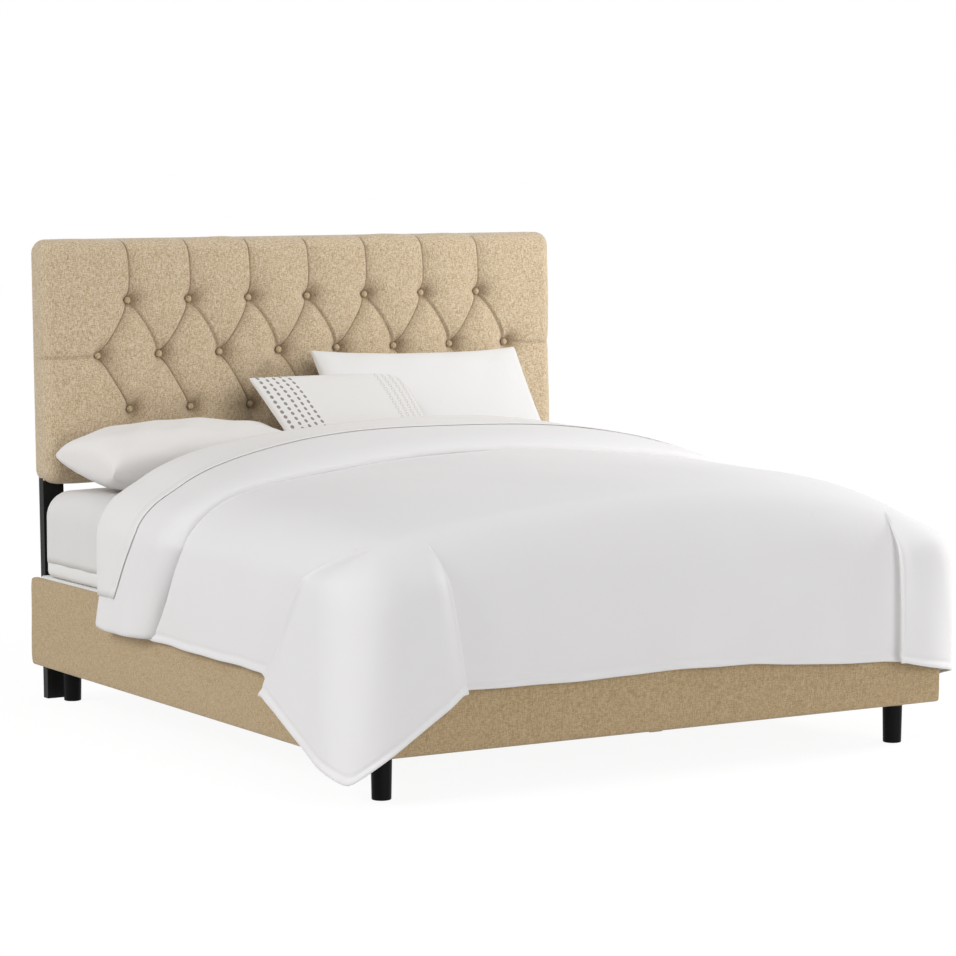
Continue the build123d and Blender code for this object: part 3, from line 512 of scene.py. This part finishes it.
def block_piece(name, low, high, rounding, step):
    """A rounded block of padding, its top the slab's front."""
    points, normals, faces = padded_slab(*(np.array(high) - low), rounding, step, block_rounding)
    return soft_piece(
        name, np.array([low[0], low[1], high[2]]) + points * (1, 1, -1), faces)


block_rounding, foundation_edge, mattress_edge = 0.02, 0.012, 0.078
foundation_step, mattress_step, mattress_inset = 0.04, 0.03, 0.001
foundation = block_piece(
    "foundation_ticking", *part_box("foundation"), foundation_edge, foundation_step)
white_cloth([foundation], "foundation_ticking", (0.8, 0.8, 0.78), 500, 0.4)
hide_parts("foundation")
low, high = (np.array(corner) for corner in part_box("mattress"))
mattress = block_piece(
    "mattress_knit", low + mattress_inset, high - mattress_inset * np.array((1, 1, 2)),
    mattress_edge, mattress_step)
white_cloth([mattress], "mattress_knit", (0.82, 0.82, 0.81), 400, 0.6)
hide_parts("mattress")
for pad in (foundation, mattress):
    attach(pad, "root")

# Fitted sheet: white cotton stretched over the mattress, its elastic hem tucked under.
# Only its head end shows, at the pillows and above the rails.
sheet_thickness, sheet_hem, hem_margin = 0.0015, 0.445, 0.003
sheet_rounding, sheet_step, sheet_back_rounding = 0.082, 0.02, 0.004
top_ripple, side_ripple, ripple_reach = 0.0015, 0.0018, 0.1
low, high = (np.array(corner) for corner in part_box("fitted_sheet"))
size = high - low
drop = high[2] - sheet_hem
points, normals, faces = padded_slab(
    size[0], size[1], drop, sheet_rounding, sheet_step, sheet_back_rounding)
kept = points[:, 2] < drop - hem_margin
faces = np.array([f for f in faces if len(f) == 4 and kept[f].all()])
used, numbers = np.unique(faces, return_inverse=True)
points, normals, faces = points[used], normals[used], numbers.reshape(faces.shape)
x, y, down = points.T
ripple = top_ripple * np.sin(21 * x) * np.sin(17 * y + 2)
ripple = ripple + side_ripple * ramp(down / ripple_reach) * np.sin(46 * (x + y))
points = points + normals * ripple[:, None]
fitted = soft_piece(
    "fitted_sheet_cotton", points * (1, 1, -1) + (low[0], low[1], high[2]), faces)


def finish_modifier(piece, kind, **settings):
    """Adds a modifier, sets it and applies it."""
    modifier = piece.modifiers.new(kind.lower(), kind)
    for key, value in settings.items():
        setattr(modifier, key, value)
    pick(piece)
    bpy.ops.object.modifier_apply(modifier=modifier.name)
    piece.select_set(False)


finish_modifier(fitted, "SOLIDIFY", thickness=sheet_thickness, offset=-1)
# The sheet's cotton is greyer than the duvet's: painted shade, standing in for the shade that the
# headboard and pillows cast on the mattress's side.
white_cloth([fitted], "fitted_sheet_cotton", (0.72, 0.705, 0.69), 700, 0.3, 0.25, 6.0)
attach(fitted, "root")
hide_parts("fitted_sheet")

# Duvet: a soft white cotton cover over down. It hangs over the foot and both sides, with a
# long folded point at each foot corner, and its head end is folded back on itself.
crown_height, crown_reach, crown_fall, edge_fall = 0.836, 0.79, 0.0625, 0.006
foot_fall, foot_fall_start, foot_fall_reach = 0.056, 0.042, 0.18
tucked_depth, tucked_start, tucked_reach = 0.035, 0.01, 0.08
groove_depth, groove_width = 0.006, 0.05
top_waves, cross_wave = ((0.0035, 5.1, 2.2, 0), (0.003, -3.7, 8.3, 1.3)), 0.0022
rail_half_width, corner_offset = 0.99, 0.03
side_border, foot_border = 0.90, 0.06
side_wall, foot_wall, wall_corner = 1.004, -0.018, 0.13
shoulder_level, wall_level, wall_top = 0.70, 0.6, 0.585
flare, flare_top, side_flare, foot_flare = 0.045, 0.62, 0.7, 0.5
crease_y, crease_slant, under_fold_y = 0.95, 0.70, 1.26
side_hem, foot_hem, low_hem, hem_wave = 0.303, 0.287, 0.034, 0.003
hem_fall_start, hem_fall_reach = 0.30, 0.45
fold_thickness, tuck_in, base_overhang = 0.029, 0.012, 0.02
# A corner's fold, at the side and at the foot: where it starts on the top's border, where it
# ends at the hem, and the hem's height there. Its tip: the place, the height and the bend.
left_corner = {"side": (0.09, 0.395, 0.247), "foot": (0.235, 0.325, 0.283),
               "tip": (0.0, 0.053, 0.85)}
right_corner = {"side": (0.10, 0.430, 0.245), "foot": (0.190, 0.193, 0.252),
                "tip": (-0.14, 0.165, 0.75)}
side_bend = 1.05
# The cloth turned in at a fold: its place along the wall, and its share of the thickness.
corner_tuck = ((tuck_in, 0.0), (0.022, 0.004), (0.009, 0.50), (0.0, 0.78), (0.003, 1.02),
               (0.010, 1.12), (0.020, 1.09))
right_spread, spread_place, spread_width, spread_reach = 0.044, -0.05, 0.17, 0.17
slope_step, least_slope, steepest_start = 0.004, 0.02, 1.2
fan_columns, shoulder_rows, wall_rows = 16, 12, 26
hem_rows, hem_start = np.array([0.034, 0.028, 0.022, 0.016, 0.010, 0.004, 0.0]), 0.042
wall_wave, fine_wave, slant_wave, wall_puff = 0.007, 0.0035, 0.0035, 0.010
slant_start, slant_reach = 1.05, 0.4
under_depth, under_width, under_fall = 0.012, 0.018, (0.80, 0.15)
# The rolled hem and the seam over it: height above the hem, width and depth.
hem_roll, hem_seam = (0.008, 0.007, 0.004), (0.024, 0.005, 0.0035)
duvet_skin, merge, tiny = 0.006, 2e-4, 1e-6


def duvet_crown(x):
    """Height of the duvet's top across the bed."""
    off = abs(x) / crown_reach
    return crown_height - crown_fall * off ** 2 - edge_fall * off ** 12


def duvet_top(x, y):
    """Height of the duvet's top, y from the foot rail's face towards the head."""
    fall = foot_fall * np.exp(-(y - foot_fall_start) / foot_fall_reach)
    softness = waves(x, y, top_waves) + cross_wave * np.sin(14 * x + 9 * y + 0.6) * np.sin(6 * y)
    under = tucked_depth * ramp((y - crease_y - tucked_start) / tucked_reach)
    groove = groove_depth * hump(y - crease_y, groove_width)
    return duvet_crown(x) - fall + softness - under - groove


def crease_place(z):
    """Where the folded-back part's open edge lies along the bed, slanting down the walls."""
    return crease_y + crease_slant * below(z, wall_level)


def wall_place(p, z, lift):
    """Plan place on the hanging walls, p from the left foot corner: minus along the side."""
    quarter = wall_corner * math.pi / 4
    out = flare * below(z, flare_top)
    side, foot = side_wall + side_flare * out + lift, foot_wall - foot_flare * out - lift
    radius = wall_corner + lift
    centre_x, centre_y = -side + radius, foot + radius
    turn = ramp((p + quarter) / (2 * quarter)) * math.pi / 2
    x = centre_x - radius * np.cos(turn) + np.where(p > quarter, p - quarter, 0)
    y = centre_y - radius * np.sin(turn) + np.where(p < -quarter, -p - quarter, 0)
    return x, y


def corner_columns(corner, border_x, border_y):
    """The hanging columns of one half of the bed, from the fold along the side to the foot."""
    (side_top, side_low, side_z), (foot_top, foot_low, foot_z) = corner["side"], corner["foot"]
    p_side_top, p_side_low = -side_top - corner_offset, -side_low - corner_offset
    p_tip, tip_z, bend = corner["tip"]
    columns = []
    base = [y for y in border_y if y > side_top + tiny]
    for y in base:
        share = (y - side_top) / (base[0] - side_top)
        low = side_low + share * (base[0] + base_overhang - side_low)
        inner = tuck_in * max(0, 1 - share * 8)
        columns.append(
            (side_border, y, -y - corner_offset, -low - corner_offset + inner, side_hem))
    for lateral, lift in corner_tuck:
        columns.append((side_border, side_top, p_side_top, p_side_low, side_z, lift, lateral))
    tops = [(side_border, y, -y - corner_offset) for y in border_y
            if side_top - tiny > y > foot_border + tiny]
    start, end = -foot_border - corner_offset, rail_half_width - side_border
    tops += [(side_border, foot_border, start + (end - start) * k / fan_columns)
             for k in range(fan_columns + 1)]
    tops += [(x, foot_border, rail_half_width - x) for x in border_x
             if side_border - tiny > x > rail_half_width - foot_top + tiny]
    for bx, by, p_top in tops:
        share = (p_top - p_side_top) / (foot_top - p_side_top)
        p_low = p_side_low + share * (foot_low - p_side_low)
        if p_low < p_tip:
            drop = (p_low - p_side_low) / (p_tip - p_side_low)
            hem = side_z + (tip_z - side_z) * drop ** side_bend
        else:
            drop = (p_low - p_tip) / (foot_low - p_tip)
            hem = tip_z + (foot_z - tip_z) * drop ** bend
        columns.append((bx, by, p_top, p_low, hem, 1, 0, 1))
    foot_x = rail_half_width - foot_top
    for lateral, lift in reversed(corner_tuck):
        columns.append((foot_x, foot_border, foot_top, foot_low, foot_z, lift, -lateral))
    return columns


def hanging_column(mirror, spread, bx, by, p_top, p_low, hem, lift=0, lateral=0, flap=0):
    """One line of cloth from the top's border, round the shoulder and down to the hem."""
    start = duvet_top(mirror * bx, by)
    out_x, out_y = wall_place(np.array(p_top), wall_level, 0)
    reach = math.hypot(out_x + bx, out_y - by)
    step_x, step_y = (slope_step * off / reach for off in (out_x + bx, out_y - by))
    ahead = duvet_top(mirror * (bx - step_x), by + step_y)
    slope = max(least_slope, (start - ahead) / slope_step)
    fall = start - wall_top
    ratio = min(0.75, slope * reach / fall)
    first = math.asin(min(0.95, ratio / (1 - ratio))) if ratio < 0.49 else steepest_start
    turn = np.linspace(first, math.pi / 2, shoulder_rows + 1)
    out = (np.sin(turn) - math.sin(first)) / (1 - math.sin(first))
    z = start - fall * (math.cos(first) - np.cos(turn)) / math.cos(first)
    wall_z = np.linspace(wall_top, hem + hem_start, wall_rows + 1)[1:]
    z = np.concatenate([z, wall_z, hem + hem_rows])
    out = np.concatenate([out, np.ones(len(z) - len(out))])
    share = below(z, shoulder_level, shoulder_level - hem)
    grown = ramp(share / 0.3)
    grown = grown * grown * (3 - 2 * grown)
    p = p_top + (p_low - p_top) * share + lateral * grown
    wave = wall_wave * np.sin(11 * p + 0.8) * np.sin(3 + 4.5 * p)
    wave = (wave + fine_wave * np.sin(27 * p + 2)) * share * (0.35 + 0.65 * (1 - flap))
    slanted = np.sin(15 * p + 13 * z + 1.5 * np.sin(6 * p)) * ramp((p - slant_start) / slant_reach)
    wave = wave + slant_wave * slanted * np.sin(math.pi * ramp(share * 1.1))
    puff = wall_puff * np.sin(math.pi * share) * (0.4 + 0.6 * (1 - flap))
    behind = np.minimum(-p - corner_offset - crease_place(z), 0)
    tucked = under_depth * hump(behind, under_width) * below(z, *under_fall)
    rolled, seam = (
        depth * hump(z - hem - up, width) for up, width, depth in (hem_roll, hem_seam))
    out_of_wall = fold_thickness * lift * grown + wave + puff + rolled - seam - tucked
    px, py = wall_place(p, z, out_of_wall)
    spread = spread * hump(p_top - spread_place, spread_width)
    px = px - spread * below(z, shoulder_level, spread_reach)
    return np.stack([-mirror * (-bx + (px + bx) * out), by + (py - by) * out, z], -1)


side_top = left_corner["side"][0]
left_foot, right_foot = (
    rail_half_width - corner["foot"][0] for corner in (left_corner, right_corner))
border_y = np.concatenate([
    np.linspace(under_fold_y, side_top, 40),
    np.linspace(side_top, foot_border, 3)[1:],
])
border_x = np.concatenate([
    np.linspace(-side_border, -left_foot, 8),
    np.linspace(-left_foot, right_foot, 52)[1:],
    np.linspace(right_foot, side_border, 4)[1:],
])
left_columns = corner_columns(left_corner, -border_x[border_x < 0], border_y)
right_columns = corner_columns(right_corner, border_x[border_x > 0][::-1], border_y)
walls = [hanging_column(-1, 0, *column) for column in left_columns]
for x in [x for x in border_x if -left_foot + tiny < x < right_foot - tiny]:
    hem = foot_hem - low_hem * ramp((x - hem_fall_start) / hem_fall_reach)
    hem = hem + hem_wave * math.sin(8 * x + 1)
    place = rail_half_width + x
    walls.append(hanging_column(-1, 0, -x, foot_border, place, place, hem))
walls += [hanging_column(1, right_spread, *column) for column in right_columns[::-1]]
walls = np.array(walls)
grid_x, grid_y = np.meshgrid(border_x, border_y, indexing="ij")
top = np.stack([grid_x, grid_y, duvet_top(grid_x, grid_y)], -1)
points = np.concatenate([top.reshape(-1, 3), walls.reshape(-1, 3)])
faces = quads(0, *top.shape[:2]) + quads(grid_x.size, *walls.shape[:2])
points[:, 1] += foot_face
duvet = soft_piece("duvet_cotton", points, faces, close=merge)
finish_modifier(duvet, "SOLIDIFY", thickness=duvet_skin, offset=-1)
finish_modifier(duvet, "SUBSURF", levels=1, render_levels=1)

# The duvet's folded-back head end: its open edge lies on the duvet's top as a soft crease,
# and the fold itself is a thick roll before the pillows.
head_y, head_slant = 1.462, 0.3
fold_side, fold_hem, shoulder_start = 1.028, 0.300, 0.78
mattress_top, mattress_margin = 0.677, 0.03
inner_reach, hanging_inner, inner_level = 0.972, 0.994, 0.40
least_lift, fold_lift, lift_reach, swell_reach = 0.004, 0.040, 0.12, 0.93
hanging_fall, hanging_inset = (0.74, 0.12), 0.024
lip_height, lip_reach, hanging_lip_reach = 0.030, 0.085, 0.02
fold_waves = ((0.0025, 7, 9, 0), (0.002, -5, 19, 2))
side_wave, side_wave_fall = 0.003, (0.62, 0.1)
# The open edge's rows: how far along the bed they lie and how far they sink.
edge_rows = ((0.014, 0.030), (0.003, 0.020), (0.0, 0.008), (0.001, 0), (0.004, 0), (0.009, 0),
             (0.016, 0), (0.026, 0))
# Rows round the head end: their share of the way down to the mattress and how far they reach.
head_start = 0.05
fold_head_rows = ((0.0, -0.03), (0.05, -0.012), (0.15, 0.0), (0.35, 0.006), (0.7, 0.004),
                  (1.0, -0.004))
under_backs, under_margin = (0.10, 0.25), 0.03

wall_z = np.linspace(fold_hem, wall_top, 14)
turn = np.linspace(math.pi / 2, shoulder_start, 12)[1:]
shoulder = (np.sin(turn) - math.sin(shoulder_start)) / (1 - math.sin(shoulder_start))
rise = (duvet_crown(side_border) - wall_top) * np.cos(turn) / math.cos(shoulder_start)
half_x = np.append(
    np.full(len(wall_z), fold_side), side_border + (fold_side - side_border) * shoulder)
half_z = np.append(wall_z, wall_top + rise)
top_x = np.linspace(-side_border, side_border, 61)[1:-1]
# The folded-back part's outline across the bed, from hem to hem, and its outward direction.
profile_x = np.concatenate([-half_x, top_x, half_x[::-1]])
profile_z = np.concatenate([half_z, duvet_crown(top_x), half_z[::-1]])
tangent = np.stack([np.gradient(profile_x), np.gradient(profile_z)], -1)
tangent /= np.linalg.norm(tangent, axis=1)[:, None]
outward_x, outward_z = -tangent[:, 1], tangent[:, 0]
fold_crease = crease_place(profile_z)
fold_head = head_y + head_slant * below(profile_z, inner_level)
inner_x = np.where(profile_z < inner_level, np.sign(profile_x) * hanging_inner,
                   np.clip(profile_x, -inner_reach, inner_reach))
inner_z = np.where(abs(profile_x) < side_border + mattress_margin, mattress_top,
                   np.minimum(profile_z, mattress_top))


def fold_surface(y, sink, offset):
    """The folded-back part's outline at a place y along the bed."""
    lift = least_lift + fold_lift * (1 - np.exp(-ramp(y - crease_y) / lift_reach))
    swell = lift * np.clip(1 - (abs(profile_x) / swell_reach) ** 3, 0.05, 1)
    hanging = below(profile_z, *hanging_fall)
    inside = ramp((y - fold_crease) / (lip_reach + hanging_lip_reach * hanging))
    roll = lip_height * np.sqrt(ramp(1 - (1 - inside) ** 2)) * (0.62 + 0.88 * hanging)
    side = side_wave * below(profile_z, *side_wave_fall) * np.sin(34 * y + 6 * profile_z)
    ripple = waves(profile_x, y, fold_waves) + side
    out = ripple + offset - sink + roll - hanging_inset * hanging
    return np.stack([profile_x + outward_x * out, y, profile_z + swell + outward_z * out], -1)


def head_rows(offset, steps):
    """Rows round the folded head end, from its top down to the mattress."""
    edge = fold_surface(fold_head - head_start, 0, offset)
    inner = np.stack([inner_x, fold_head, inner_z], -1)
    rows = [edge + (inner - edge) * share for share, along in steps]
    for row, (share, along) in zip(rows, steps):
        row[:, 1] = fold_head + along
    return rows


rows = [fold_surface(fold_crease + along, sink, 0) for along, sink in edge_rows]
for share in np.linspace(0.085, 0.88, 26):
    rows.append(fold_surface(fold_crease + share * (fold_head - fold_crease), 0, 0))
rows += head_rows(0, fold_head_rows)
under_start = fold_crease + under_margin
for place in [np.maximum(fold_head - back, under_start) for back in under_backs] + [under_start]:
    rows.append(np.stack([inner_x, place, inner_z], -1))
rows = np.array(rows)
count, total = rows.shape[1], rows.shape[0] * rows.shape[1]
last = total - count
faces = quads(0, *rows.shape[:2])
faces += [[i, i + 1, last + i + 1, last + i] for i in range(count - 1)]
faces += [range(0, total, count), range(count - 1, total, count)]
points = rows.reshape(-1, 3)
points[:, 1] += foot_face
fold = soft_piece("duvet_fold_cotton", points, faces, close=1e-5)
finish_modifier(fold, "SUBSURF", levels=1, render_levels=1)
white_cloth([duvet, fold], "duvet_cotton", (0.80, 0.788, 0.788), 700, 0.25, 0.16, 7.0)
for part in (duvet, fold):
    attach(part, "root")
    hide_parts("duvet")

# Top sheet: smooth white percale, turned down over the duvet's folded head end, with a
# double-stitched hem that slants at the sides.
turn_down_y, turn_down_low = 1.20, 0.388
turn_slant, turn_slant_level = 0.71, 0.61
right_turn, right_turn_start, right_turn_reach = 0.235, 0.55, 0.42
hem_end, head_gap, percale_offset, percale_thickness = 0.045, 0.07, 0.0014, 0.0022
hem_steps = ((0.0, 0.0012), (0.001, 0.0020), (0.004, 0.0024), (0.030, 0.0024), (0.033, 0.0012))
sheet_head_rows = ((0.0, -0.03), (0.05, -0.009), (0.15, 0.004), (0.35, 0.010), (0.7, 0.008),
                   (0.97, 0.003))
sheet_start = turn_down_y + turn_slant * below(profile_z, turn_slant_level)
toward_right = ramp((profile_x - right_turn_start) / right_turn_reach)
sheet_start = sheet_start - right_turn * toward_right ** 1.6
rows = [fold_surface(sheet_start + along, 0, offset) for along, offset in hem_steps]
for share in np.linspace(0.0, 1.0, 16):
    y = sheet_start + hem_end + share * (fold_head - head_gap - sheet_start - hem_end)
    rows.append(fold_surface(y, 0, percale_offset))
rows += head_rows(percale_offset, sheet_head_rows)
rows = np.array(rows)[:, profile_z > turn_down_low]
points = rows.reshape(-1, 3)
points[:, 1] += foot_face
top_sheet = soft_piece("flat_sheet_cotton", points, quads(0, *rows.shape[:2]))
finish_modifier(top_sheet, "SOLIDIFY", thickness=percale_thickness, offset=1)
white_cloth([top_sheet], "flat_sheet_cotton", (0.80, 0.785, 0.775), 800, 0.2, 0.12, 9.0)
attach(top_sheet, "root")
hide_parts("flat_sheet")

# Pillows: cotton cases over down, sewn round the edge. One lies at the left, one stands against
# the headboard, and a small one with a dotted border leans before it.
pillow_columns, pillow_rows, gather_reach, pillow_sink = 61, 41, 0.10, 0.002
sleeping_corners = (
    (-0.885, 0.640, 0.742), (-0.22, 0.56, 0.752), (-0.19, 0.925, 0.79), (-0.948, 0.925, 0.789))
sham_corners = (
    (-0.03, 0.695, 0.70), (0.762, 0.695, 0.70), (0.740, 0.937, 1.072), (-0.036, 0.937, 1.083))


def unit(vector):
    """The vector's direction, with a length of 1."""
    return vector / np.linalg.norm(vector)


def pillow_piece(name, corners, crowns, fullness, drawn_in, wrinkles, tip=0.0):
    """A filled case between its corners: bottom left, bottom right, top right, top left."""
    places = [np.sin(np.linspace(-1, 1, count) * math.pi / 2)
              for count in (pillow_columns, pillow_rows)]
    u, v = np.meshgrid(*places, indexing="ij")
    across = u * (1 - drawn_in[0] * (1 - v ** 2) * abs(u) ** 4)
    pulled = np.where(v > 0, drawn_in[1], drawn_in[0])
    up = v * (1 - pulled * (1 - u ** 2) ** 0.8 * abs(v) ** 4)
    corners = np.array(corners)
    shares = [(1 + a * across) * (1 + b * up) for a, b in ((-1, -1), (1, -1), (1, 1), (-1, 1))]
    seam = sum(share[..., None] / 4 * corner for share, corner in zip(shares, corners))
    normal = unit(np.cross(corners[1] - corners[0], corners[3] - corners[0]))
    body = ramp((1 - u ** 2) * (1 - v ** 2)) ** fullness
    edge = ramp(np.minimum(1 - u ** 2, 1 - v ** 2) * 3)
    near_edge = np.exp(-((1 - np.maximum(abs(u), abs(v))) / gather_reach))
    layers = []
    for side, crown in zip((1, -1), crowns):
        ripple = wrinkles * np.sin(7 * u + 3 * v + side) * np.sin(5 * v - 2 * u + 1)
        ripple = ripple + 0.6 * wrinkles * np.sin(13 * u - 6 * v + side)
        gathers = 0.8 * wrinkles * np.sin(31 * u + 23 * v + 2 * np.sin(9 * u)) * near_edge
        points = seam + normal * (side * (crown * body + (ripple + gathers) * edge))[..., None]
        points[..., 2] -= tip * np.exp(-((u + 1) ** 2 + (v - 1) ** 2) / 0.02)
        layers.append(points.reshape(-1, 3))
    points = np.concatenate(layers)
    points[:, 2] = np.maximum(points[:, 2], mattress_top - pillow_sink)
    faces = quads(0, *u.shape) + [f[::-1] for f in quads(u.size, *u.shape)]
    piece = soft_piece(name, points, faces, close=1e-4)
    finish_modifier(piece, "SUBSURF", levels=1, render_levels=1)
    return piece


sleeping = pillow_piece("sleeping_pillow_cotton", sleeping_corners, (0.124, 0.106), 0.33,
                        (0.035, 0.035), 0.0035, 0.004)
white_cloth([sleeping], "pillow_cotton", (0.765, 0.745, 0.73), 700, 0.25, 0.30, 11.0)
sham = pillow_piece("sham_cotton", sham_corners, (0.070, 0.052), 0.30, (0.04, 0.145), 0.003)
white_cloth([sham], "sham_cotton", (0.76, 0.75, 0.74), 700, 0.25, 0.22, 9.0)
for pillow, node in ((sleeping, "sleeping_pillow"), (sham, "sham")):
    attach(pillow, "root")
    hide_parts(node)

# Small pillow: white cotton with a plain border of small oval dots sewn in taupe thread.
# At the right only the dots' outlines show.
accent_corners = (
    (-0.203, 0.60, 0.705), (0.306, 0.60, 0.705), (0.246, 0.842, 1.008), (-0.311, 0.842, 1.008))
dot_pitch_across, dot_pitch_down, dot_columns, dot_stagger = 0.0255, 0.0205, 5, 0.3
dot_half_across, dot_half_down = 0.19, 0.34
dot_inset, border_start = 0.007, 0.002
dot_thread, left_strength, right_strength = (0.20, 0.165, 0.145, 1), 0.85, 0.35
ring_outside, ring_inside = 1.25, 0.8
accent = pillow_piece(
    "accent_pillow_cotton", accent_corners, (0.045, 0.04), 0.32, (0.03, 0.03), 0.002)
tree = white_cloth([accent], "accent_cotton", (0.74, 0.725, 0.71), 600, 0.3, 0.2, 10.0)
corner_low, corner_right, corner_high, corner_left = np.array(accent_corners)
points = np.array([vertex.co[:] for vertex in accent.data.vertices])
along, down = unit(corner_high - corner_left), unit(corner_low - corner_left)
lean, right_lean = along @ down, along @ unit(corner_right - corner_high)
reach, drop = (points - corner_left) @ along, (points - corner_left) @ down
from_left = (reach - lean * drop) / (1 - lean ** 2) - dot_inset
from_top = (drop - lean * reach) / (1 - lean ** 2)
from_right = np.linalg.norm(corner_high - corner_left) + right_lean * from_top - reach
case_place = accent.data.attributes.new("case_place", "FLOAT_VECTOR", "POINT")
case_place.data.foreach_set("vector", np.stack(
    [from_left, from_top, from_right], -1).astype(np.float32).ravel())


def dot_distance(from_edge, from_top):
    """Distance from the nearest dot's middle, 1 at its rim, and whether it is in the border."""
    columns = reckon(tree, "DIVIDE", from_edge, dot_pitch_across)
    stagger = reckon(tree, "MULTIPLY", reckon(tree, "FLOOR", columns), dot_stagger)
    rows = reckon(tree, "ADD", reckon(tree, "DIVIDE", from_top, dot_pitch_down), stagger)
    squares = []
    for cells, half_size in ((columns, dot_half_across), (rows, dot_half_down)):
        off = reckon(tree, "SUBTRACT", reckon(tree, "FRACT", cells), 0.5)
        off = reckon(tree, "ABSOLUTE", reckon(tree, "DIVIDE", off, half_size))
        squares.append(reckon(tree, "POWER", off, 2))
    before_end = reckon(tree, "LESS_THAN", from_edge, dot_columns * dot_pitch_across)
    after_start = reckon(tree, "GREATER_THAN", from_edge, border_start)
    inside = reckon(tree, "MULTIPLY", before_end, after_start)
    return reckon(tree, "SQRT", reckon(tree, "ADD", *squares)), inside


place = add_node(tree, "Attribute", attribute_name="case_place")
to_left, to_top, to_right = add_node(tree, "SeparateXYZ", Vector=place.outputs["Vector"]).outputs
distance, inside = dot_distance(to_left, to_top)
left_dots = reckon(tree, "MULTIPLY", reckon(tree, "LESS_THAN", distance, 1.0), inside)
left_dots = reckon(tree, "MULTIPLY", left_dots, left_strength)
distance, inside = dot_distance(to_right, to_top)
ring = reckon(tree, "MULTIPLY", reckon(tree, "LESS_THAN", distance, ring_outside),
              reckon(tree, "GREATER_THAN", distance, ring_inside))
right_dots = reckon(tree, "MULTIPLY", reckon(tree, "MULTIPLY", ring, inside), right_strength)
shader = tree.nodes["Principled BSDF"]
fill(tree, shader, Base_Color=colour_mix(
    tree, reckon(tree, "MAXIMUM", left_dots, right_dots),
    shader.inputs["Base Color"].links[0].from_socket, dot_thread))
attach(accent, "root")
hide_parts("accent_pillow")

# Camera: level-headed view from the foot's left, a little above the mattress.
camera_place = (-5.4137, foot_face - 7.9155, 1.7575)
camera_pitch, camera_turn = math.radians(90 - 5.538), math.radians(-31.300)
sensor_width, focal_pixels, picture_width = 36, 3464.77, 956
bpy.ops.object.camera_add(location=camera_place, rotation=(camera_pitch, 0, camera_turn))
camera = bpy.context.object
camera.data.sensor_width = sensor_width
camera.data.lens = sensor_width * focal_pixels / picture_width
camera.data.clip_end = 100
bpy.context.scene.camera = camera

# Studio: a white floor that keeps the bed's soft shadow, a white surround and broad soft lamps.
# The camera and mirrors see floor and surround as white, whatever light they give.
floor_size, floor_glow, floor_seen, surround_light = 60, 1.07, 0.86, 0.385
pure_white = (1, 1, 1, 1)
# Lamps: name, kind, place, the place they aim at, angle or size, and strength.
lamps = (
    ("left_window", "SUN", (-8.5, 0.3, 5.2), (0, 0, 0), math.radians(30), 1.62),
    ("front_window", "SUN", (1.0, -9.5, 2.6), (0, 0, 0), math.radians(35), 1.0),
    ("head_lamp", "AREA", (3.3, -0.9, 1.75), (0.3, 1.0, 1.15), 0.9, 64),
)


def show_camera(tree, output, plain, seen, part):
    """Gives the camera and mirrors a part of the seen shader, and other rays the plain one."""
    rays, mix = add_node(tree, "LightPath").outputs, add_node(tree, "MixShader")
    either = reckon(tree, "MAXIMUM", rays["Is Camera Ray"], rays["Is Glossy Ray"])
    for socket, value in zip(mix.inputs, (
            reckon(tree, "MULTIPLY", either, part), plain.outputs[0], seen.outputs[0])):
        put(tree, socket, value)
    fill(tree, tree.nodes[output], Surface=mix.outputs[0])


bpy.ops.mesh.primitive_plane_add(size=floor_size, location=(0, 0, 0))
floor = bpy.context.object
floor.name = "studio_floor"
floor_paint, tree, shader = new_material(
    "studio_floor", Base_Color=(0.8, 0.8, 0.8, 1), Roughness=1, Specular_IOR_Level=0)
white = add_node(tree, "Emission", Strength=floor_glow)
show_camera(tree, "Material Output", shader, white, floor_seen)
floor.data.materials.append(floor_paint)
world = bpy.data.worlds.new("studio")
bpy.context.scene.world = world
world.use_nodes = True
tree = world.node_tree
background = fill(tree, tree.nodes["Background"], Color=pure_white, Strength=surround_light)
white = add_node(tree, "Background", Color=pure_white, Strength=1)
show_camera(tree, "World Output", background, white, 1)
for name, kind, place, target, size, power in lamps:
    bpy.ops.object.light_add(type=kind, location=place)
    lamp = bpy.context.object
    lamp.name = name
    setattr(lamp.data, "angle" if kind == "SUN" else "size", size)
    lamp.data.energy = power
    aim = np.array(target) - np.array(place)
    lamp.rotation_euler = (
        math.atan2(math.hypot(aim[0], aim[1]), -aim[2]), 0, math.atan2(-aim[0], aim[1]))
bpy.context.scene.view_settings.view_transform = "Standard"
